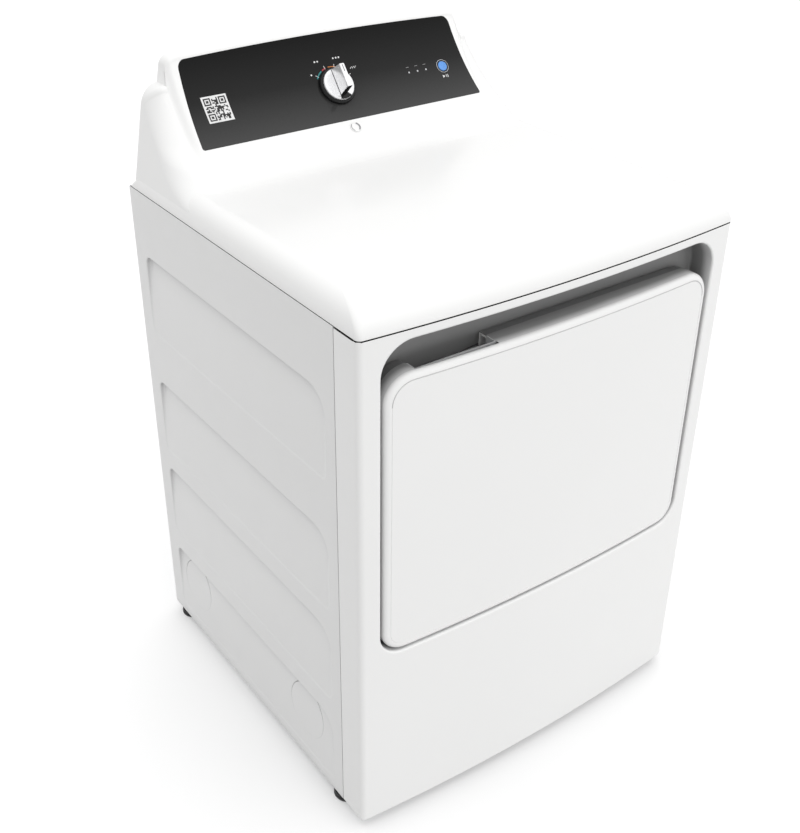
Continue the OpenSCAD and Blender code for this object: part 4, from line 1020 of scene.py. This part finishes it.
knob()
BUTTON_X = 0.2205
RING_SECTION = [(0.0110, -0.002), (0.0112, 0.0006), (0.0113, 0.0013), (0.0116, 0.0016), (0.0120, 0.0013),
                (0.0120, 0.0004), (0.0119, -0.0002), (0.0118, -0.0010)]
GAP_SHADE_SECTION = [(0.0010, -0.0003), (0.0092, -0.0002), (0.0098, 0.0004), (0.0110, 0.0006), (0.0110, 0.0002),
               (0.0105, -0.0010)]
CAP_SECTION = [(0.0084, -0.0002), (0.0087, 0.0005), (0.0088, 0.0010), (0.0085, 0.0017), (0.0079, 0.0020),
               (0.0070, 0.0020), (0.0055, 0.0017), (0.0035, 0.0015), (0.0012, 0.0014)]
turned("start_ring", RING_SECTION, SLOPE, MAT["chrome_trim"], "cabinet", ["start_button_ring"], x=BUTTON_X)
# painted shade: a black ring fills the gap round the cap
turned("start_gap_shade", GAP_SHADE_SECTION, SLOPE, SKIRT_BLACK_AND_SHADE, "cabinet", x=BUTTON_X)
turned("start_cap", CAP_SECTION, SLOPE, MAT["blue_button"], "start_button_body", ["start_button"], x=BUTTON_X)
BADGE = at_slope(math.radians(-51.9 - A_LOW) * R)
# Grey for the painted shade on the badge's rim
BADGE_SHADE = finish("badge_painted_shade", (0.30, 0.30, 0.31), 0.3, 0.6, spread=0.12, mottle=150, grain=1500,
                    depth=0.00001)
turned("badge", [(0.0075, -0.0004), (0.0092, 0.0002), (0.0095, 0.0006), (0.0094, 0.0013), (0.0088, 0.0018),
                 (0.0078, 0.0018), (0.0072, 0.0013), (0.0066, 0.0010), (0.0030, 0.0010), (0.0010, 0.0010)],
       BADGE, MAT["console_plastic"], "cabinet", ["console_badge"])


def badge_shade_arcs():
    """Two grey arcs on the badge's rim as painted shade. Two plain arcs on the badge in
    place of a mark.
    """
    bm = bmesh.new()
    for r0, r1, a0, a1 in ((0.0066, 0.0086, -55, 65), (0.0074, 0.0084, 130, 235)):
        pts = arc(0, 0, r1, a0, a1, 16) + arc(0, 0, r0, a1, a0, 16)
        patch(bm, pts, on(BADGE), 0.0021, 0.0008)
    make_piece("badge_shade_arcs", bm, BADGE_SHADE, "cabinet", weighted=False)


badge_shade_arcs()


# ---------------------------------------------------------------- stage, lights, camera

FLOOR_GLOW = 0.24
# The dome's light: its level at the horizon and what a direction adds to it
DOME_LEVEL = 0.745
DOME_SLOPE = (0.02, -0.05, 0.50)


def stage():
    m, nt, bsdf = tree_of("studio_floor")
    vec = coords(nt)
    link(nt, ramp(nt, noise(nt, vec, 1.5, 2), [(0.3, (0.69, 0.69, 0.69)), (0.7, (0.71, 0.71, 0.71))]),
         bsdf.inputs["Base Color"])
    link(nt, ranged(nt, noise(nt, vec, 12, 3), 0.55, 0.65), bsdf.inputs["Roughness"])
    bumped(nt, bsdf, noise(nt, vec, 300, 2), 0.05, 0.0001)
    bsdf.inputs["Emission Color"].default_value = (1, 1, 1, 1)
    bsdf.inputs["Emission Strength"].default_value = FLOOR_GLOW
    bm = bmesh.new()
    bmesh.ops.create_grid(bm, x_segments=8, y_segments=8, size=40)
    me = bpy.data.meshes.new("studio_floor")
    bm.to_mesh(me)
    bm.free()
    o = bpy.data.objects.new("studio_floor", me)
    o.location.z = -0.0005
    me.materials.append(m)
    o.visible_diffuse = False
    scene.collection.objects.link(o)
    w = bpy.data.worlds.new("studio")
    scene.world = w
    w.use_nodes = True
    nt = w.node_tree
    bg = nt.nodes["Background"]
    bg.inputs["Color"].default_value = (1, 1, 1, 1)
    tc = nt.nodes.new("ShaderNodeTexCoord")
    dot = nt.nodes.new("ShaderNodeVectorMath")
    dot.operation = "DOT_PRODUCT"
    dot.inputs[1].default_value = DOME_SLOPE
    link(nt, tc.outputs["Generated"], dot.inputs[0])
    link(nt, math_node(nt, "ADD", dot.outputs["Value"], DOME_LEVEL), bg.inputs["Strength"])


def area(name, loc, target, size, power):
    """A square soft light that is not mirrored in glossy surfaces."""
    d = bpy.data.lights.new(name, "AREA")
    d.energy = power
    d.size = size
    o = bpy.data.objects.new(name, d)
    o.location = loc
    o.rotation_euler = (Vector(target) - Vector(loc)).to_track_quat("-Z", "Y").to_euler()
    o.visible_glossy = False
    scene.collection.objects.link(o)


stage()
area("overhead", (0.8, 1.6, 7.0), (0.8, 1.6, 0), 15.0, 220)
area("front_fill", (1.0, -4.2, 0.3), (0, 0, 0.15), 2.2, 55)

# Degrees that the camera looks down, and to the right of straight at the front
CAMERA_DOWN, CAMERA_RIGHT = 31.262, 34.842
cam = bpy.data.cameras.new("camera")
cam.sensor_width = 36
cam.lens = 50.65
cam.shift_x = 0.0266
cam.shift_y = -0.0108
co = bpy.data.objects.new("camera", cam)
co.location = (-1.0502, -1.3996, 1.5759)
co.rotation_euler = (math.radians(90 - CAMERA_DOWN), 0, math.radians(-CAMERA_RIGHT))
scene.collection.objects.link(co)
scene.camera = co
